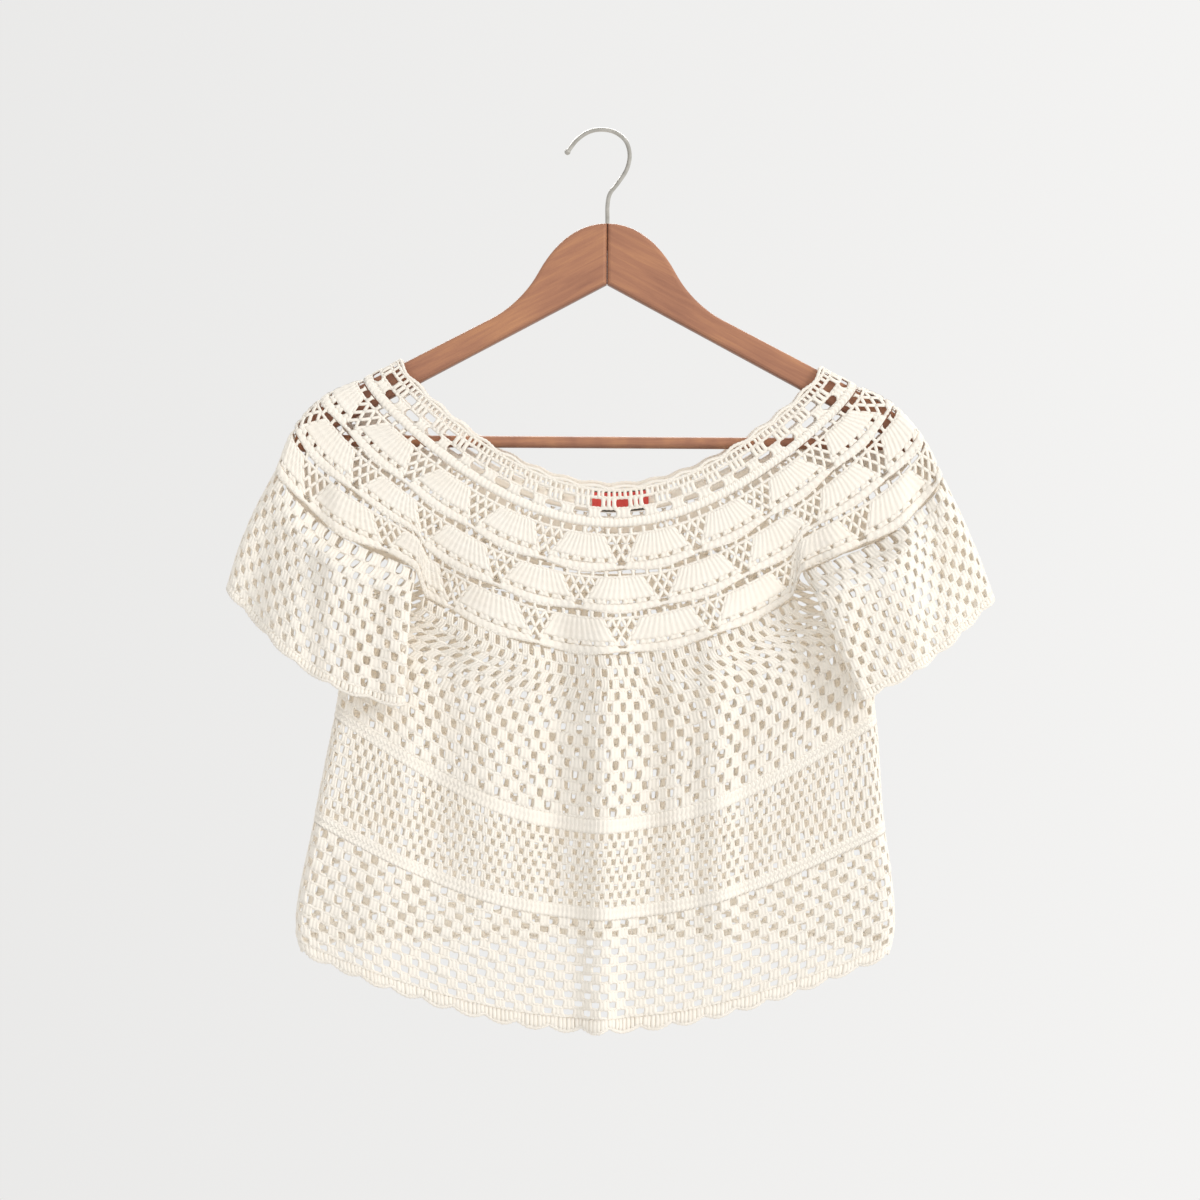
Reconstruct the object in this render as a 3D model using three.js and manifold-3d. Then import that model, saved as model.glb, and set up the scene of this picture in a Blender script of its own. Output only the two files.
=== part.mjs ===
// Cropped open-knit sweater, crocheted from the neck down, hanging on a wooden clothes hanger.
//
// Millimetres, +Z up, +X to the right as seen from the front, -Y the front of the garment.
// The origin is the top of the hook's inside, where a rail carries it.
// "right" and "left" in node names are the wearer's, so the right sleeve lies at minus X.
// "minus" and "plus" in the tables are the sides at minus X and plus X.

import * as THREE from "three";
import { mergeVertices } from "three/addons/utils/BufferGeometryUtils.js";
import Module from "manifold-3d";

const wasm = await Module();
wasm.setup();

// ---------------------------------------------------------------- driving dimensions

const wall = 2.0; // thickness of the crocheted cloth
const seamGap = 0.5; // between two pieces of cloth that are joined
const halfSeam = seamGap / 2;
const courseGap = 0.7; // the same gap along the cloth, which some courses draw together
const liftStart = 60; // reach at which the front yoke begins to be lifted on the sleeves
const liftOutside = [0, 70]; // the lift fades over these distances outside a sleeve's fold
const liftInside = [1, 9]; // and inside it
const dentStart = [0.5, 10]; // the yoke steps back over these distances inside a sleeve's fold

// The half-depth of the hanging cloth grows from the shoulders to the hem.
const shoulderZ = -160;
const shoulderDepth = 10.5;
const depthPerDrop = 0.034;

const shoulderRoll = 8; // radius over which the cloth turns at the shoulder and sleeve folds
const innerRoll = 9; // and at the inner fold of a sleeve
const rollPower = 2.6; // 2 is a round fold, more is squarer, as over the arm of the hanger

// Every course of the crochet is a ring. It starts at the fold on the minus side, sags to
// frontZ or backZ at its middle and ends at the fold on the plus side. reach is the length of
// cloth from the neck edge down the middle of the front. full is 0 for a sine sag, 1 for an
// elliptic one.
const yokeCourses = [
  { name: "neck edge", reach: 0, minusX: -141.5, minusZ: -159.4, middleX: 8, frontZ: -250,
    backZ: -247, plusX: 154, plusZ: -164.5, frontFull: 0.28, backFull: 0.3 },
  { name: "neckband top", reach: 3.5, minusX: -144.5, minusZ: -161, middleX: 8, frontZ: -253.5,
    backZ: -249.5, plusX: 157, plusZ: -166.2, frontFull: 0.28, backFull: 0.3 },
  { name: "neckband end", reach: 29, minusX: -168, minusZ: -173, middleX: 7, frontZ: -279,
    backZ: -268, plusX: 179.5, plusZ: -178, frontFull: 0.28, backFull: 0.35 },
  { name: "first fans end", reach: 60.5, minusX: -197.5, minusZ: -187, middleX: 6, frontZ: -310.5,
    backZ: -289, plusX: 206, plusZ: -192, frontFull: 0.28, backFull: 0.4 },
  { name: "second fans end", reach: 88.5, minusX: -217, minusZ: -208, middleX: 5, frontZ: -338.5,
    backZ: -309.5, plusX: 226, plusZ: -214.5, frontFull: 0.28, backFull: 0.6 },
  { name: "yoke edge", reach: 118.5, minusX: -229, minusZ: -236, middleX: 4, frontZ: -368.5,
    backZ: -330, plusX: 240, plusZ: -242, frontFull: 0.28, backFull: 0.8 },
];

// The body's courses follow the yoke edge. minusSide and plusSide are where the side folds cut
// each ring: at the underarms the ring is wider than the body, because the sleeves take its ends.
// sideRoll is the radius of the cloth's turn there.
const bodyCourses = [
  { name: "yoke edge", reach: 118.5, minusX: -229, minusZ: -236, middleX: 4, frontZ: -368.5,
    backZ: -330, plusX: 240, plusZ: -242, frontFull: 0.28, backFull: 0.8,
    minusSide: -127, plusSide: 136.5, sideRoll: 4 },
  { name: "under the underarm", reach: 130, minusX: -225, minusZ: -252, middleX: 4, frontZ: -380,
    backZ: -339.5, plusX: 235.5, plusZ: -258, frontFull: 0.26, backFull: 0.72,
    minusSide: -130.5, plusSide: 142.5, sideRoll: 5 },
  { name: "behind the sleeves", reach: 150, minusX: -217.5, minusZ: -282, middleX: 3, frontZ: -400,
    backZ: -356, plusX: 227, plusZ: -288, frontFull: 0.2, backFull: 0.58,
    minusSide: -158, plusSide: 168, sideRoll: 9 },
  { name: "upper solid band", reach: 232.5, minusX: -187, minusZ: -403.5, middleX: 0, frontZ: -482.5,
    backZ: -424, plusX: 192.5, plusZ: -408.5, frontFull: 0, backFull: 0,
    minusSide: -187, plusSide: 192.5, sideRoll: 11 },
  { name: "fine mesh", reach: 242.5, minusX: -188.5, minusZ: -411.5, middleX: -1, frontZ: -492.5,
    backZ: -432, plusX: 193.5, plusZ: -416.5, frontFull: 0, backFull: 0,
    minusSide: -188.5, plusSide: 193.5, sideRoll: 11 },
  { name: "lower solid band", reach: 294, minusX: -201.5, minusZ: -476.5, middleX: -2, frontZ: -544.5,
    backZ: -492, plusX: 198.5, plusZ: -484.5, frontFull: 0, backFull: 0,
    minusSide: -201.5, plusSide: 198.5, sideRoll: 11 },
  { name: "hem clusters", reach: 302.5, minusX: -203, minusZ: -485, middleX: -2, frontZ: -553,
    backZ: -500, plusX: 199.5, plusZ: -492.5, frontFull: 0, backFull: 0,
    minusSide: -203, plusSide: 199.5, sideRoll: 11 },
  { name: "hem edging", reach: 370.5, minusX: -214.5, minusZ: -567, middleX: -3, frontZ: -621,
    backZ: -562, plusX: 204.5, plusZ: -569, frontFull: 0, backFull: 0,
    minusSide: -214.5, plusSide: 204.5, sideRoll: 11 },
  { name: "hem", reach: 382.5, minusX: -211.5, minusZ: -577, middleX: -3, frontZ: -633,
    backZ: -572, plusX: 201.5, plusZ: -579, frontFull: 0, backFull: 0,
    minusSide: -211.5, plusSide: 201.5, sideRoll: 11 },
];

// A sleeve runs from the yoke edge, between the outer fold and the fold over the body at foldX,
// to a cuff that sags from its outer corner to its inner one. forward is how far the inner part
// swings out in front of the body.
const sleeves = [
  { name: "right", side: -1, foldX: -131, cuffOuterX: -265, cuffOuterZ: -323,
    cuffInnerX: -137, cuffInnerZ: -405, cuffSag: 19, outerBow: 4, forward: 31 },
  { name: "left", side: 1, foldX: 141, cuffOuterX: 277, cuffOuterZ: -330,
    cuffInnerX: 180, cuffInnerZ: -401, cuffSag: 8, outerBow: 2, forward: 31 },
];
const sleeveEdging = 7; // the width of a cuff's scalloped edging
const sleeveLength = 92; // from the yoke edge to the cuff
const sleeveSwing = 24; // the drop over which a sleeve swings out
const swingAcross = [0.1, 0.62]; // and the shares of its width between which it does
const sleeveFlattens = [0.3, 0.65]; // where its half-depth goes from outer to inner
const sleeveSettles = 0.3; // the share of its length in which it takes up that half-depth
const sleeveGap = 0.9; // between a sleeve and its edging, along the slanting cuff
const sleeveHalfOuter = 13; // half the depth of the hanging sleeve at its outer part
const sleeveHalfInner = 5.5; // and over the body

// Ridges (out above 0) and troughs of the hanging cloth: each runs from its top to its end and
// fades over the share of its length given by fadeIn and fadeOut.
const bodyFolds = [
  { name: "middle ridge", topX: 4, topZ: -300, endX: -1, endZ: -660, out: 9, width: 21,
    fadeIn: 0.25, fadeOut: 0.02 },
  { name: "trough beside it, minus", topX: -31, topZ: -305, endX: -34, endZ: -590, out: -6.5, width: 21,
    fadeIn: 0.2, fadeOut: 0.3 },
  { name: "trough beside it, plus", topX: 33, topZ: -345, endX: 34, endZ: -590, out: -6, width: 20,
    fadeIn: 0.2, fadeOut: 0.3 },
  { name: "plus ridge", topX: 78, topZ: -320, endX: 83, endZ: -600, out: 6, width: 20,
    fadeIn: 0.2, fadeOut: 0.25 },
  { name: "minus ridge", topX: -75, topZ: -380, endX: -80, endZ: -570, out: 3.5, width: 26,
    fadeIn: 0.3, fadeOut: 0.3 },
  { name: "minus outer trough", topX: -112, topZ: -330, endX: -120, endZ: -560, out: -4.5, width: 24,
    fadeIn: 0.2, fadeOut: 0.3 },
  { name: "lower minus swell", topX: -150, topZ: -470, endX: -170, endZ: -680, out: 4, width: 40,
    fadeIn: 0.3, fadeOut: 0.02 },
  { name: "trough beside the left sleeve", topX: 132, topZ: -290, endX: 166, endZ: -430, out: -7, width: 20,
    fadeIn: 0.25, fadeOut: 0.3 },
];
const sleeveFolds = [
  { name: "right outer ridge", topX: -222, topZ: -235, endX: -236, endZ: -400, out: 3, width: 15,
    fadeIn: 0.3, fadeOut: 0.05 },
  { name: "right trough", topX: -199, topZ: -226, endX: -205, endZ: -410, out: -5.5, width: 17,
    fadeIn: 0.2, fadeOut: 0.15 },
  { name: "right small trough", topX: -156, topZ: -270, endX: -158, endZ: -420, out: -2.5, width: 14,
    fadeIn: 0.3, fadeOut: 0.2 },
  { name: "left fold crest", topX: 160, topZ: -250, endX: 176, endZ: -420, out: 3, width: 16,
    fadeIn: 0.3, fadeOut: 0.05 },
  { name: "left trough", topX: 222, topZ: -222, endX: 232, endZ: -380, out: -5.5, width: 16,
    fadeIn: 0.25, fadeOut: 0.05 },
  { name: "left outer ridge", topX: 244, topZ: -250, endX: 262, endZ: -400, out: 3, width: 18,
    fadeIn: 0.3, fadeOut: 0.05 },
];
const backFolds = [
  { name: "back ridge", topX: -48, topZ: -300, endX: -58, endZ: -620, out: 6, width: 26,
    fadeIn: 0.3, fadeOut: 0.02 },
  { name: "back trough", topX: -8, topZ: -310, endX: -6, endZ: -600, out: -4.5, width: 24,
    fadeIn: 0.3, fadeOut: 0.1 },
  { name: "back plus ridge", topX: 38, topZ: -315, endX: 52, endZ: -640, out: 5, width: 24,
    fadeIn: 0.3, fadeOut: 0.02 },
  { name: "back plus trough", topX: 96, topZ: -320, endX: 104, endZ: -590, out: -4, width: 26,
    fadeIn: 0.3, fadeOut: 0.2 },
  { name: "back minus trough", topX: -112, topZ: -330, endX: -118, endZ: -600, out: -4, width: 28,
    fadeIn: 0.3, fadeOut: 0.2 },
];

// The front of the body is pressed flat behind each sleeve near the underarm.
const underarmDents = [
  { x: -134, z: -330, radius: 34, share: 0.65 },
  { x: 146, z: -330, radius: 34, share: 0.65 },
];

// Hanger
const stemX = 4.2; // the hook's stem and the joint of the two arms
const hangerTilt = 0.35; // degrees, down at plus X
const armThickness = 12;
const armBevel = 2.6;
const glueJoint = 0.36;
const armTopZ = -64.4;
const notchZ = -107.5;
const woodDrop = 0.5; // the arms sit this much lower, clear of the cloth over them
const barZ = -218.5;
const barRadius = 4.2;
const barHalfLength = 213;
const barBoreStart = 190; // inside the hollow of the arm's end
const barBoreEnd = 213.5;
const barSides = 24;
const fitClearance = 0.35;
const wireRadius = 1.5;
const hookTipRadius = 2.2;
const hookSteps = 60; // sections along the wire
const hookSides = 12; // and facets round it
const stemEndZ = -84;
const stemBoreEndZ = -84.8;
const stemSides = 16;
const cutPast = 5; // a bore is cut this far past the wood's face

// Neck label
const labelMinusX = -7;
const labelPlusX = 33;
const labelReachTop = 4.5;
const labelReachEnd = 24.5;
const labelThickness = 0.8;

const yokeEdge = yokeCourses[yokeCourses.length - 1];

// ---------------------------------------------------------------- small helpers

const clamp = (value, low, high) => Math.min(Math.max(value, low), high);
const mix = (a, b, t) => a + (b - a) * t;

function smoothstep(low, high, value) {
  const t = clamp((value - low) / (high - low), 0, 1);
  return t * t * (3 - 2 * t);
}

// Slope of a table's column at row i, from its two neighbours.
function slopeAt(table, key, i) {
  const rise = (a, b) => (table[b][key] - table[a][key]) / (table[b].reach - table[a].reach);
  if (i === 0) return rise(0, 1);
  if (i === table.length - 1) return rise(i - 1, i);
  const before = table[i].reach - table[i - 1].reach;
  const after = table[i + 1].reach - table[i].reach;
  return (rise(i - 1, i) * after + rise(i, i + 1) * before) / (before + after);
}

// Every numeric column of a table, smoothly between its rows, at a given reach.
function courseAt(table, reach) {
  let i = 0;
  while (i < table.length - 2 && reach > table[i + 1].reach) i += 1;
  const span = table[i + 1].reach - table[i].reach;
  const t = (reach - table[i].reach) / span;
  const course = {};
  for (const key of Object.keys(table[i])) {
    if (typeof table[i][key] !== "number") continue;
    const a = table[i][key];
    const b = table[i + 1][key];
    const slopeA = slopeAt(table, key, i) * span;
    const slopeB = slopeAt(table, key, i + 1) * span;
    course[key] = a * (1 + 2 * t) * (1 - t) ** 2 + b * (3 - 2 * t) * t * t
      + slopeA * t * (1 - t) ** 2 - slopeB * t * t * (1 - t);
  }
  return course;
}

// x of a ring at u, 0 on the minus side, 0.5 in the middle and 1 on the plus side.
function ringX(u, minusX, middleX, plusX) {
  return u < 0.5 ? mix(minusX, middleX, u * 2) : mix(middleX, plusX, u * 2 - 1);
}

// Height of a course at x, on the front or the back.
function courseZ(course, x, isFront) {
  const end = x < course.middleX
    ? { x: course.minusX, z: course.minusZ }
    : { x: course.plusX, z: course.plusZ };
  const middle = isFront ? course.frontZ : course.backZ;
  const full = isFront ? course.frontFull : course.backFull;
  const w = clamp((x - end.x) / (course.middleX - end.x), 0, 1);
  const sag = (1 - full) * Math.sin((Math.PI / 2) * w) + full * Math.sqrt(1 - (1 - w) ** 2);
  return end.z + (middle - end.z) * sag;
}

// How far the folds of a table push the cloth out at x, z.
function foldOut(folds, x, z) {
  let out = 0;
  for (const fold of folds) {
    const along = (fold.topZ - z) / (fold.topZ - fold.endZ);
    if (along <= 0 || along >= 1) continue;
    const across = Math.abs(x - mix(fold.topX, fold.endX, along)) / fold.width;
    if (across >= 1) continue;
    const envelope = smoothstep(0, fold.fadeIn, along) * (1 - smoothstep(1 - fold.fadeOut, 1, along));
    out += fold.out * envelope * 0.5 * (1 + Math.cos(Math.PI * across));
  }
  return out;
}

const baseDepth = (z) => shoulderDepth + (shoulderZ - z) * depthPerDrop;

// Quarter turn of the cloth beside a fold line: 0 on the line, 1 a radius away.
function roll(distance, radius) {
  const left = 1 - clamp(distance / radius, 0, 1);
  return (1 - left ** rollPower) ** (1 / rollPower);
}

function dentShare(x, z) {
  let keep = 1;
  for (const dent of underarmDents) {
    const distance = Math.hypot(x - dent.x, z - dent.z) / dent.radius;
    keep *= 1 - dent.share * Math.exp(-distance * distance);
  }
  return keep;
}

// ---------------------------------------------------------------- surfaces of the hanging cloth
// Each takes u, 0 to 1 from the minus side to the plus side, and a reach or a share v down the
// piece, and gives a point on the cloth's outer face.

// The front of a yoke course is lifted on the sleeve, up to the back's height at the fold that
// hangs over the body, where the two layers of the sleeve meet.
function sleeveLift(x, reach) {
  const grown = smoothstep(liftStart, yokeEdge.reach, reach);
  let lift = 0;
  for (const { side, foldX } of sleeves) {
    const full = courseZ(yokeEdge, foldX, false) - courseZ(yokeEdge, foldX, true);
    const outside = (x - foldX) * side;
    const faded = outside > 0 ? smoothstep(...liftOutside, outside) : smoothstep(...liftInside, -outside);
    lift += full * grown * (1 - faded);
  }
  return lift;
}

// The front of the yoke steps back beside each sleeve fold.
function yokeDent(x, z) {
  let keep = 1;
  for (const sleeve of sleeves) {
    const inside = (sleeve.foldX - x) * sleeve.side;
    const past = smoothstep(...dentStart, inside);
    keep *= mix(1, dentShare(x, z), past);
  }
  return keep;
}

function yokePoint(u, reach, isFront) {
  const course = courseAt(yokeCourses, reach);
  const x = ringX(u, course.minusX, course.middleX, course.plusX);
  const onCourse = courseZ(course, x, isFront);
  const z = onCourse + (isFront ? sleeveLift(x, reach) : 0);
  const endX = u < 0.5 ? course.minusX : course.plusX;
  const endZ = u < 0.5 ? course.minusZ : course.plusZ;
  const turned = roll(Math.hypot(x - endX, z - endZ), shoulderRoll);
  if (!isFront) return new THREE.Vector3(x, (baseDepth(z) + foldOut(backFolds, x, z)) * turned, z);
  const inSleeve = sleeves.some((sleeve) => (x - sleeve.foldX) * sleeve.side > 0);
  const folds = inSleeve ? foldOut(sleeveFolds, x, z) : foldOut(bodyFolds, x, z);
  return new THREE.Vector3(x, -(baseDepth(z) + folds) * turned * yokeDent(x, z), z);
}

function bodyPoint(u, reach, isFront) {
  const course = courseAt(bodyCourses, reach);
  const x = ringX(u, course.minusSide, course.middleX, course.plusSide);
  const z = courseZ(course, x, isFront);
  const sideX = u < 0.5 ? course.minusSide : course.plusSide;
  const sideZ = courseZ(course, sideX, isFront);
  const turned = roll(Math.hypot(x - sideX, z - sideZ), course.sideRoll);
  const folds = foldOut(isFront ? bodyFolds : backFolds, x, z);
  const depth = (baseDepth(z) + folds) * turned * (isFront ? dentShare(x, z) : 1);
  return new THREE.Vector3(x, isFront ? -depth : depth, z);
}

// The height of the yoke edge at x, where a sleeve or the body begins.
function yokeEdgeZ(x, isFront) {
  return courseZ(yokeEdge, x, isFront) + (isFront ? sleeveLift(x, yokeEdge.reach) : 0);
}

// The depth of a sleeve's middle surface at x, z: its inner part swings out in front of the body.
function sleeveMiddle(sleeve, x, z) {
  const outerX = sleeve.side < 0 ? yokeEdge.minusX : yokeEdge.plusX;
  const outerZ = sleeve.side < 0 ? yokeEdge.minusZ : yokeEdge.plusZ;
  const outerAt = mix(outerX, sleeve.cuffOuterX, (outerZ - z) / (outerZ - sleeve.cuffOuterZ));
  const innerTopZ = yokeEdgeZ(sleeve.foldX, true);
  const fallen = clamp((innerTopZ - z) / (innerTopZ - sleeve.cuffInnerZ), 0, 1);
  const innerAt = mix(sleeve.foldX, sleeve.cuffInnerX, fallen);
  const across = (x - outerAt) / (innerAt - outerAt);
  const drop = yokeEdgeZ(x, true) - z;
  return -sleeve.forward * smoothstep(...swingAcross, across) * smoothstep(0, sleeveSwing, drop);
}

// A point of a sleeve: u runs from the outer fold to the inner one, v from the yoke edge to the cuff.
function sleevePoint(sleeve, u, v, isFront) {
  const outerX = sleeve.side < 0 ? yokeEdge.minusX : yokeEdge.plusX;
  const topX = mix(outerX, sleeve.foldX, u);
  const topZ = yokeEdgeZ(topX, isFront);
  const cuffX = mix(sleeve.cuffOuterX, sleeve.cuffInnerX, u);
  const cuffZ = mix(sleeve.cuffOuterZ, sleeve.cuffInnerZ, u) - sleeve.cuffSag * Math.sin(Math.PI * u);
  const bow = sleeve.outerBow * Math.sin(Math.PI * v) * (1 - u);
  const x = mix(topX, cuffX, v) + sleeve.side * bow;
  const z = mix(topZ, cuffZ, v);

  const width = Math.abs(mix(outerX, sleeve.cuffOuterX, v) - mix(sleeve.foldX, sleeve.cuffInnerX, v));
  const turned = roll(u * width, shoulderRoll) * roll((1 - u) * width, innerRoll);
  const middle = sleeveMiddle(sleeve, x, z);
  const loose = mix(sleeveHalfOuter, sleeveHalfInner, smoothstep(...sleeveFlattens, u));
  const half = mix(baseDepth(z), loose, smoothstep(0, sleeveSettles, v));
  const folds = isFront ? foldOut(sleeveFolds, x, z) : 0;
  const y = isFront ? middle - (half + folds) * turned : middle + half * turned;
  return new THREE.Vector3(x, y, z);
}

// ---------------------------------------------------------------- solids from surfaces

// A closed wall between an outer grid of points and an inner one, both [row][column].
function wallGeometry(outer, inner) {
  const rows = outer.length;
  const columns = outer[0].length;
  const vertices = [...outer.flat(), ...inner.flat()];
  const positions = vertices.flatMap((point) => [point.x, point.y, point.z]);
  const at = (row, column, layer) => layer * rows * columns + row * columns + column;
  const index = [];
  const quad = (a, b, c, d) => index.push(a, b, c, a, c, d);
  for (let i = 0; i < rows - 1; i += 1) {
    for (let j = 0; j < columns - 1; j += 1) {
      quad(at(i, j, 0), at(i + 1, j, 0), at(i + 1, j + 1, 0), at(i, j + 1, 0));
      quad(at(i, j, 1), at(i, j + 1, 1), at(i + 1, j + 1, 1), at(i + 1, j, 1));
    }
    quad(at(i, 0, 1), at(i + 1, 0, 1), at(i + 1, 0, 0), at(i, 0, 0));
    const end = columns - 1;
    quad(at(i, end, 0), at(i + 1, end, 0), at(i + 1, end, 1), at(i, end, 1));
  }
  for (let j = 0; j < columns - 1; j += 1) {
    quad(at(0, j, 0), at(0, j + 1, 0), at(0, j + 1, 1), at(0, j, 1));
    // The same diagonal as above, so that two pieces that meet keep their gap.
    quad(at(rows - 1, j, 0), at(rows - 1, j, 1), at(rows - 1, j + 1, 1), at(rows - 1, j + 1, 0));
  }
  const geometry = new THREE.BufferGeometry();
  geometry.setAttribute("position", new THREE.Float32BufferAttribute(positions, 3));
  geometry.setIndex(index);
  if (signedVolume(positions, index) < 0) geometry.setIndex(flipped(index));
  geometry.computeVertexNormals();
  return geometry;
}

function signedVolume(positions, index) {
  let volume = 0;
  const corner = (i) => new THREE.Vector3().fromArray(positions, 3 * index[i]);
  for (let i = 0; i < index.length; i += 3) {
    volume += corner(i).dot(corner(i + 1).cross(corner(i + 2))) / 6;
  }
  return volume;
}

function flipped(index) {
  const turned = [];
  for (let i = 0; i < index.length; i += 3) turned.push(index[i], index[i + 2], index[i + 1]);
  return turned;
}

const normalStep = 0.003; // of u and v, over which a normal is measured

// The outward normal of a surface that faces the front (-1) or the back (1). lean is the share
// of its upward part that is kept: 0 keeps a piece's edges level through the wall.
function surfaceNormal(surface, u, v, facing, lean) {
  const step = normalStep;
  const alongU = surface(Math.min(u + step, 1), v).sub(surface(Math.max(u - step, 0), v));
  const alongV = surface(u, v + step).sub(surface(u, v - step));
  const normal = alongU.cross(alongV).normalize();
  if (normal.y * facing < 0) normal.negate();
  normal.z *= lean;
  return normal.normalize();
}

// A wall of cloth on a surface of u and v. stations are the columns' u, shares the rows' v,
// and foldY(x, z) is the depth of the surface where this half meets the other one. near and far
// are how deep under the cloth's outer face the wall's two faces lie.
function clothWall(surface, { stations, shares, facing, foldY, lean, near = wall, far = 0 }) {
  const layer = (depth) => shares.map((v) => stations.map((u) => {
    const point = surface(u, v).addScaledVector(surfaceNormal(surface, u, v, facing, lean(v)), -depth);
    const fold = foldY(point.x, point.z);
    if ((point.y - fold) * facing < halfSeam) point.y = fold + facing * halfSeam;
    return point;
  }));
  return wallGeometry(layer(far), layer(near));
}

const cotton = () => new THREE.MeshStandardMaterial({ color: 0xf3eee2, roughness: 0.9, metalness: 0 });

const garment = new THREE.Group();
garment.name = "sweater";

function addMesh(group, name, geometry, material) {
  const mesh = new THREE.Mesh(geometry, material);
  mesh.name = name;
  group.add(mesh);
  return mesh;
}

// ---------------------------------------------------------------- cloth pieces

const crowding = 0.8; // 0 is even, 1 would bring the end rows together

const even = (count) => Array.from({ length: count + 1 }, (_, k) => k / count);

// Shares from 0 to 1 that crowd towards both ends, where the cloth turns.
function crowded(count) {
  const turn = 2 * Math.PI;
  return even(count).map((share) => share - (crowding * Math.sin(turn * share)) / turn);
}

// The columns of all cloth stand at the same x along the yoke edge: first those of the minus
// sleeve, then those between the sleeve folds, then those of the plus sleeve.
const underarm = bodyCourses[0];
const [minusSleeve, plusSleeve] = sleeves;
const sleeveColumns = 12;
const sleeveShares = crowded(sleeveColumns);
const foldSteps = [3.5, 8, 11.5]; // columns just inside a sleeve's fold
const innerColumns = { from: -112, to: 122, count: 12 };
const minusX = sleeveShares.map((share) => mix(yokeEdge.minusX, minusSleeve.foldX, share));
const plusX = sleeveShares.map((share) => mix(yokeEdge.plusX, plusSleeve.foldX, share)).reverse();
const betweenX = [
  ...foldSteps.map((step) => minusSleeve.foldX + step),
  ...even(innerColumns.count).map((share) => mix(innerColumns.from, innerColumns.to, share)),
  ...foldSteps.map((step) => plusSleeve.foldX - step).reverse(),
];

const shareAt = (x, low, middle, high) => (x < middle
  ? (x - low) / (middle - low) / 2
  : 0.5 + (x - middle) / (high - middle) / 2);

const yokeStations = [...minusX, ...betweenX, ...plusX]
  .map((x) => shareAt(x, yokeEdge.minusX, yokeEdge.middleX, yokeEdge.plusX));
const sideShares = [0, 0.003, 0.01];
const bodyStations = [
  ...sideShares,
  ...betweenX.slice(1, -1)
    .map((x) => shareAt(x, underarm.minusSide, underarm.middleX, underarm.plusSide)),
  ...sideShares.map((share) => 1 - share).reverse(),
];

const yokeBands = [
  { name: "neck_edging", from: 0, to: 1, rows: 1 },
  { name: "neckband", from: 1, to: 2, rows: 2 },
  { name: "yoke", from: 2, to: 5, rows: 6 },
];
const bodyBands = [
  { name: "upper_body", from: 0, to: 3, rows: 8 },
  { name: "waist", from: 3, to: 6, rows: 3 },
  { name: "hem_panel", from: 6, to: 7, rows: 3 },
  { name: "hem_edging", from: 7, to: 8, rows: 1 },
];

// One half of a round band between two rows of a table of courses.
function bandHalf(band, table, pointOn, stations, lean, isFront) {
  const top = table[band.from].reach + courseGap / 2;
  const end = table[band.to].reach - courseGap / 2;
  return clothWall((u, v) => pointOn(u, mix(top, end, v), isFront), {
    stations, shares: even(band.rows), facing: isFront ? -1 : 1, foldY: () => 0,
    lean: (v) => lean(mix(top, end, v)),
  });
}

function addBands(bands, table, pointOn, stations, lean) {
  for (const band of bands) {
    addMesh(garment, `${band.name}_front`, bandHalf(band, table, pointOn, stations, lean, true), cotton());
    addMesh(garment, `${band.name}_back`, bandHalf(band, table, pointOn, stations, lean, false), cotton());
  }
}

const leanEnd = 70; // reach from which the yoke's walls turn level, to meet the body and sleeves
const yokeLean = (reach) => 1 - smoothstep(leanEnd, yokeEdge.reach, reach);
const noLean = () => 0;
addBands(yokeBands, yokeCourses, yokePoint, yokeStations, yokeLean);
addBands(bodyBands, bodyCourses, bodyPoint, bodyStations, noLean);

// A sleeve's rows crowd where it swings out in front of the body.
const sleeveRows = [0, 0.07, 0.14, 0.21, 0.3, 0.5, 0.75, 1];

// One layer of a sleeve between two shares of its length.
function sleeveLayer(sleeve, from, to, shares, isFront) {
  return clothWall((u, v) => sleevePoint(sleeve, u, mix(from, to, v), isFront), {
    stations: sleeveShares, shares, facing: isFront ? -1 : 1, lean: noLean,
    foldY: (x, z) => sleeveMiddle(sleeve, x, z),
  });
}

for (const sleeve of sleeves) {
  const gap = sleeveGap / sleeveLength;
  const edgingStart = 1 - sleeveEdging / sleeveLength;
  for (const [layer, isFront] of [["front", true], ["back", false]]) {
    addMesh(garment, `${sleeve.name}_sleeve_${layer}`,
      sleeveLayer(sleeve, gap, edgingStart - gap / 2, sleeveRows, isFront), cotton());
    addMesh(garment, `${sleeve.name}_cuff_edging_${layer}`,
      sleeveLayer(sleeve, edgingStart + gap / 2, 1, even(1), isFront), cotton());
  }
}

// The label lies on the inside of the back neckband.
function labelGeometry() {
  const surface = (u, v) => {
    const reach = mix(labelReachTop, labelReachEnd, v);
    const course = courseAt(yokeCourses, reach);
    const share = shareAt(mix(labelMinusX, labelPlusX, u), course.minusX, course.middleX, course.plusX);
    return yokePoint(share, reach, false);
  };
  return clothWall(surface, {
    stations: even(4), shares: even(2), facing: 1, foldY: () => 0, lean: () => 1,
    near: wall + seamGap + labelThickness, far: wall + seamGap,
  });
}

addMesh(garment, "neck_label", labelGeometry(),
  new THREE.MeshStandardMaterial({ color: 0xb5322e, roughness: 0.8, metalness: 0 }));

// ---------------------------------------------------------------- hanger

function toManifold(geometry) {
  const bare = geometry.clone();
  bare.deleteAttribute("normal");
  bare.deleteAttribute("uv");
  const merged = mergeVertices(bare, 1e-4);
  return new wasm.Manifold(new wasm.Mesh({
    numProp: 3,
    vertProperties: new Float32Array(merged.attributes.position.array),
    triVerts: new Uint32Array(merged.index.array),
  }));
}

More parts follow.
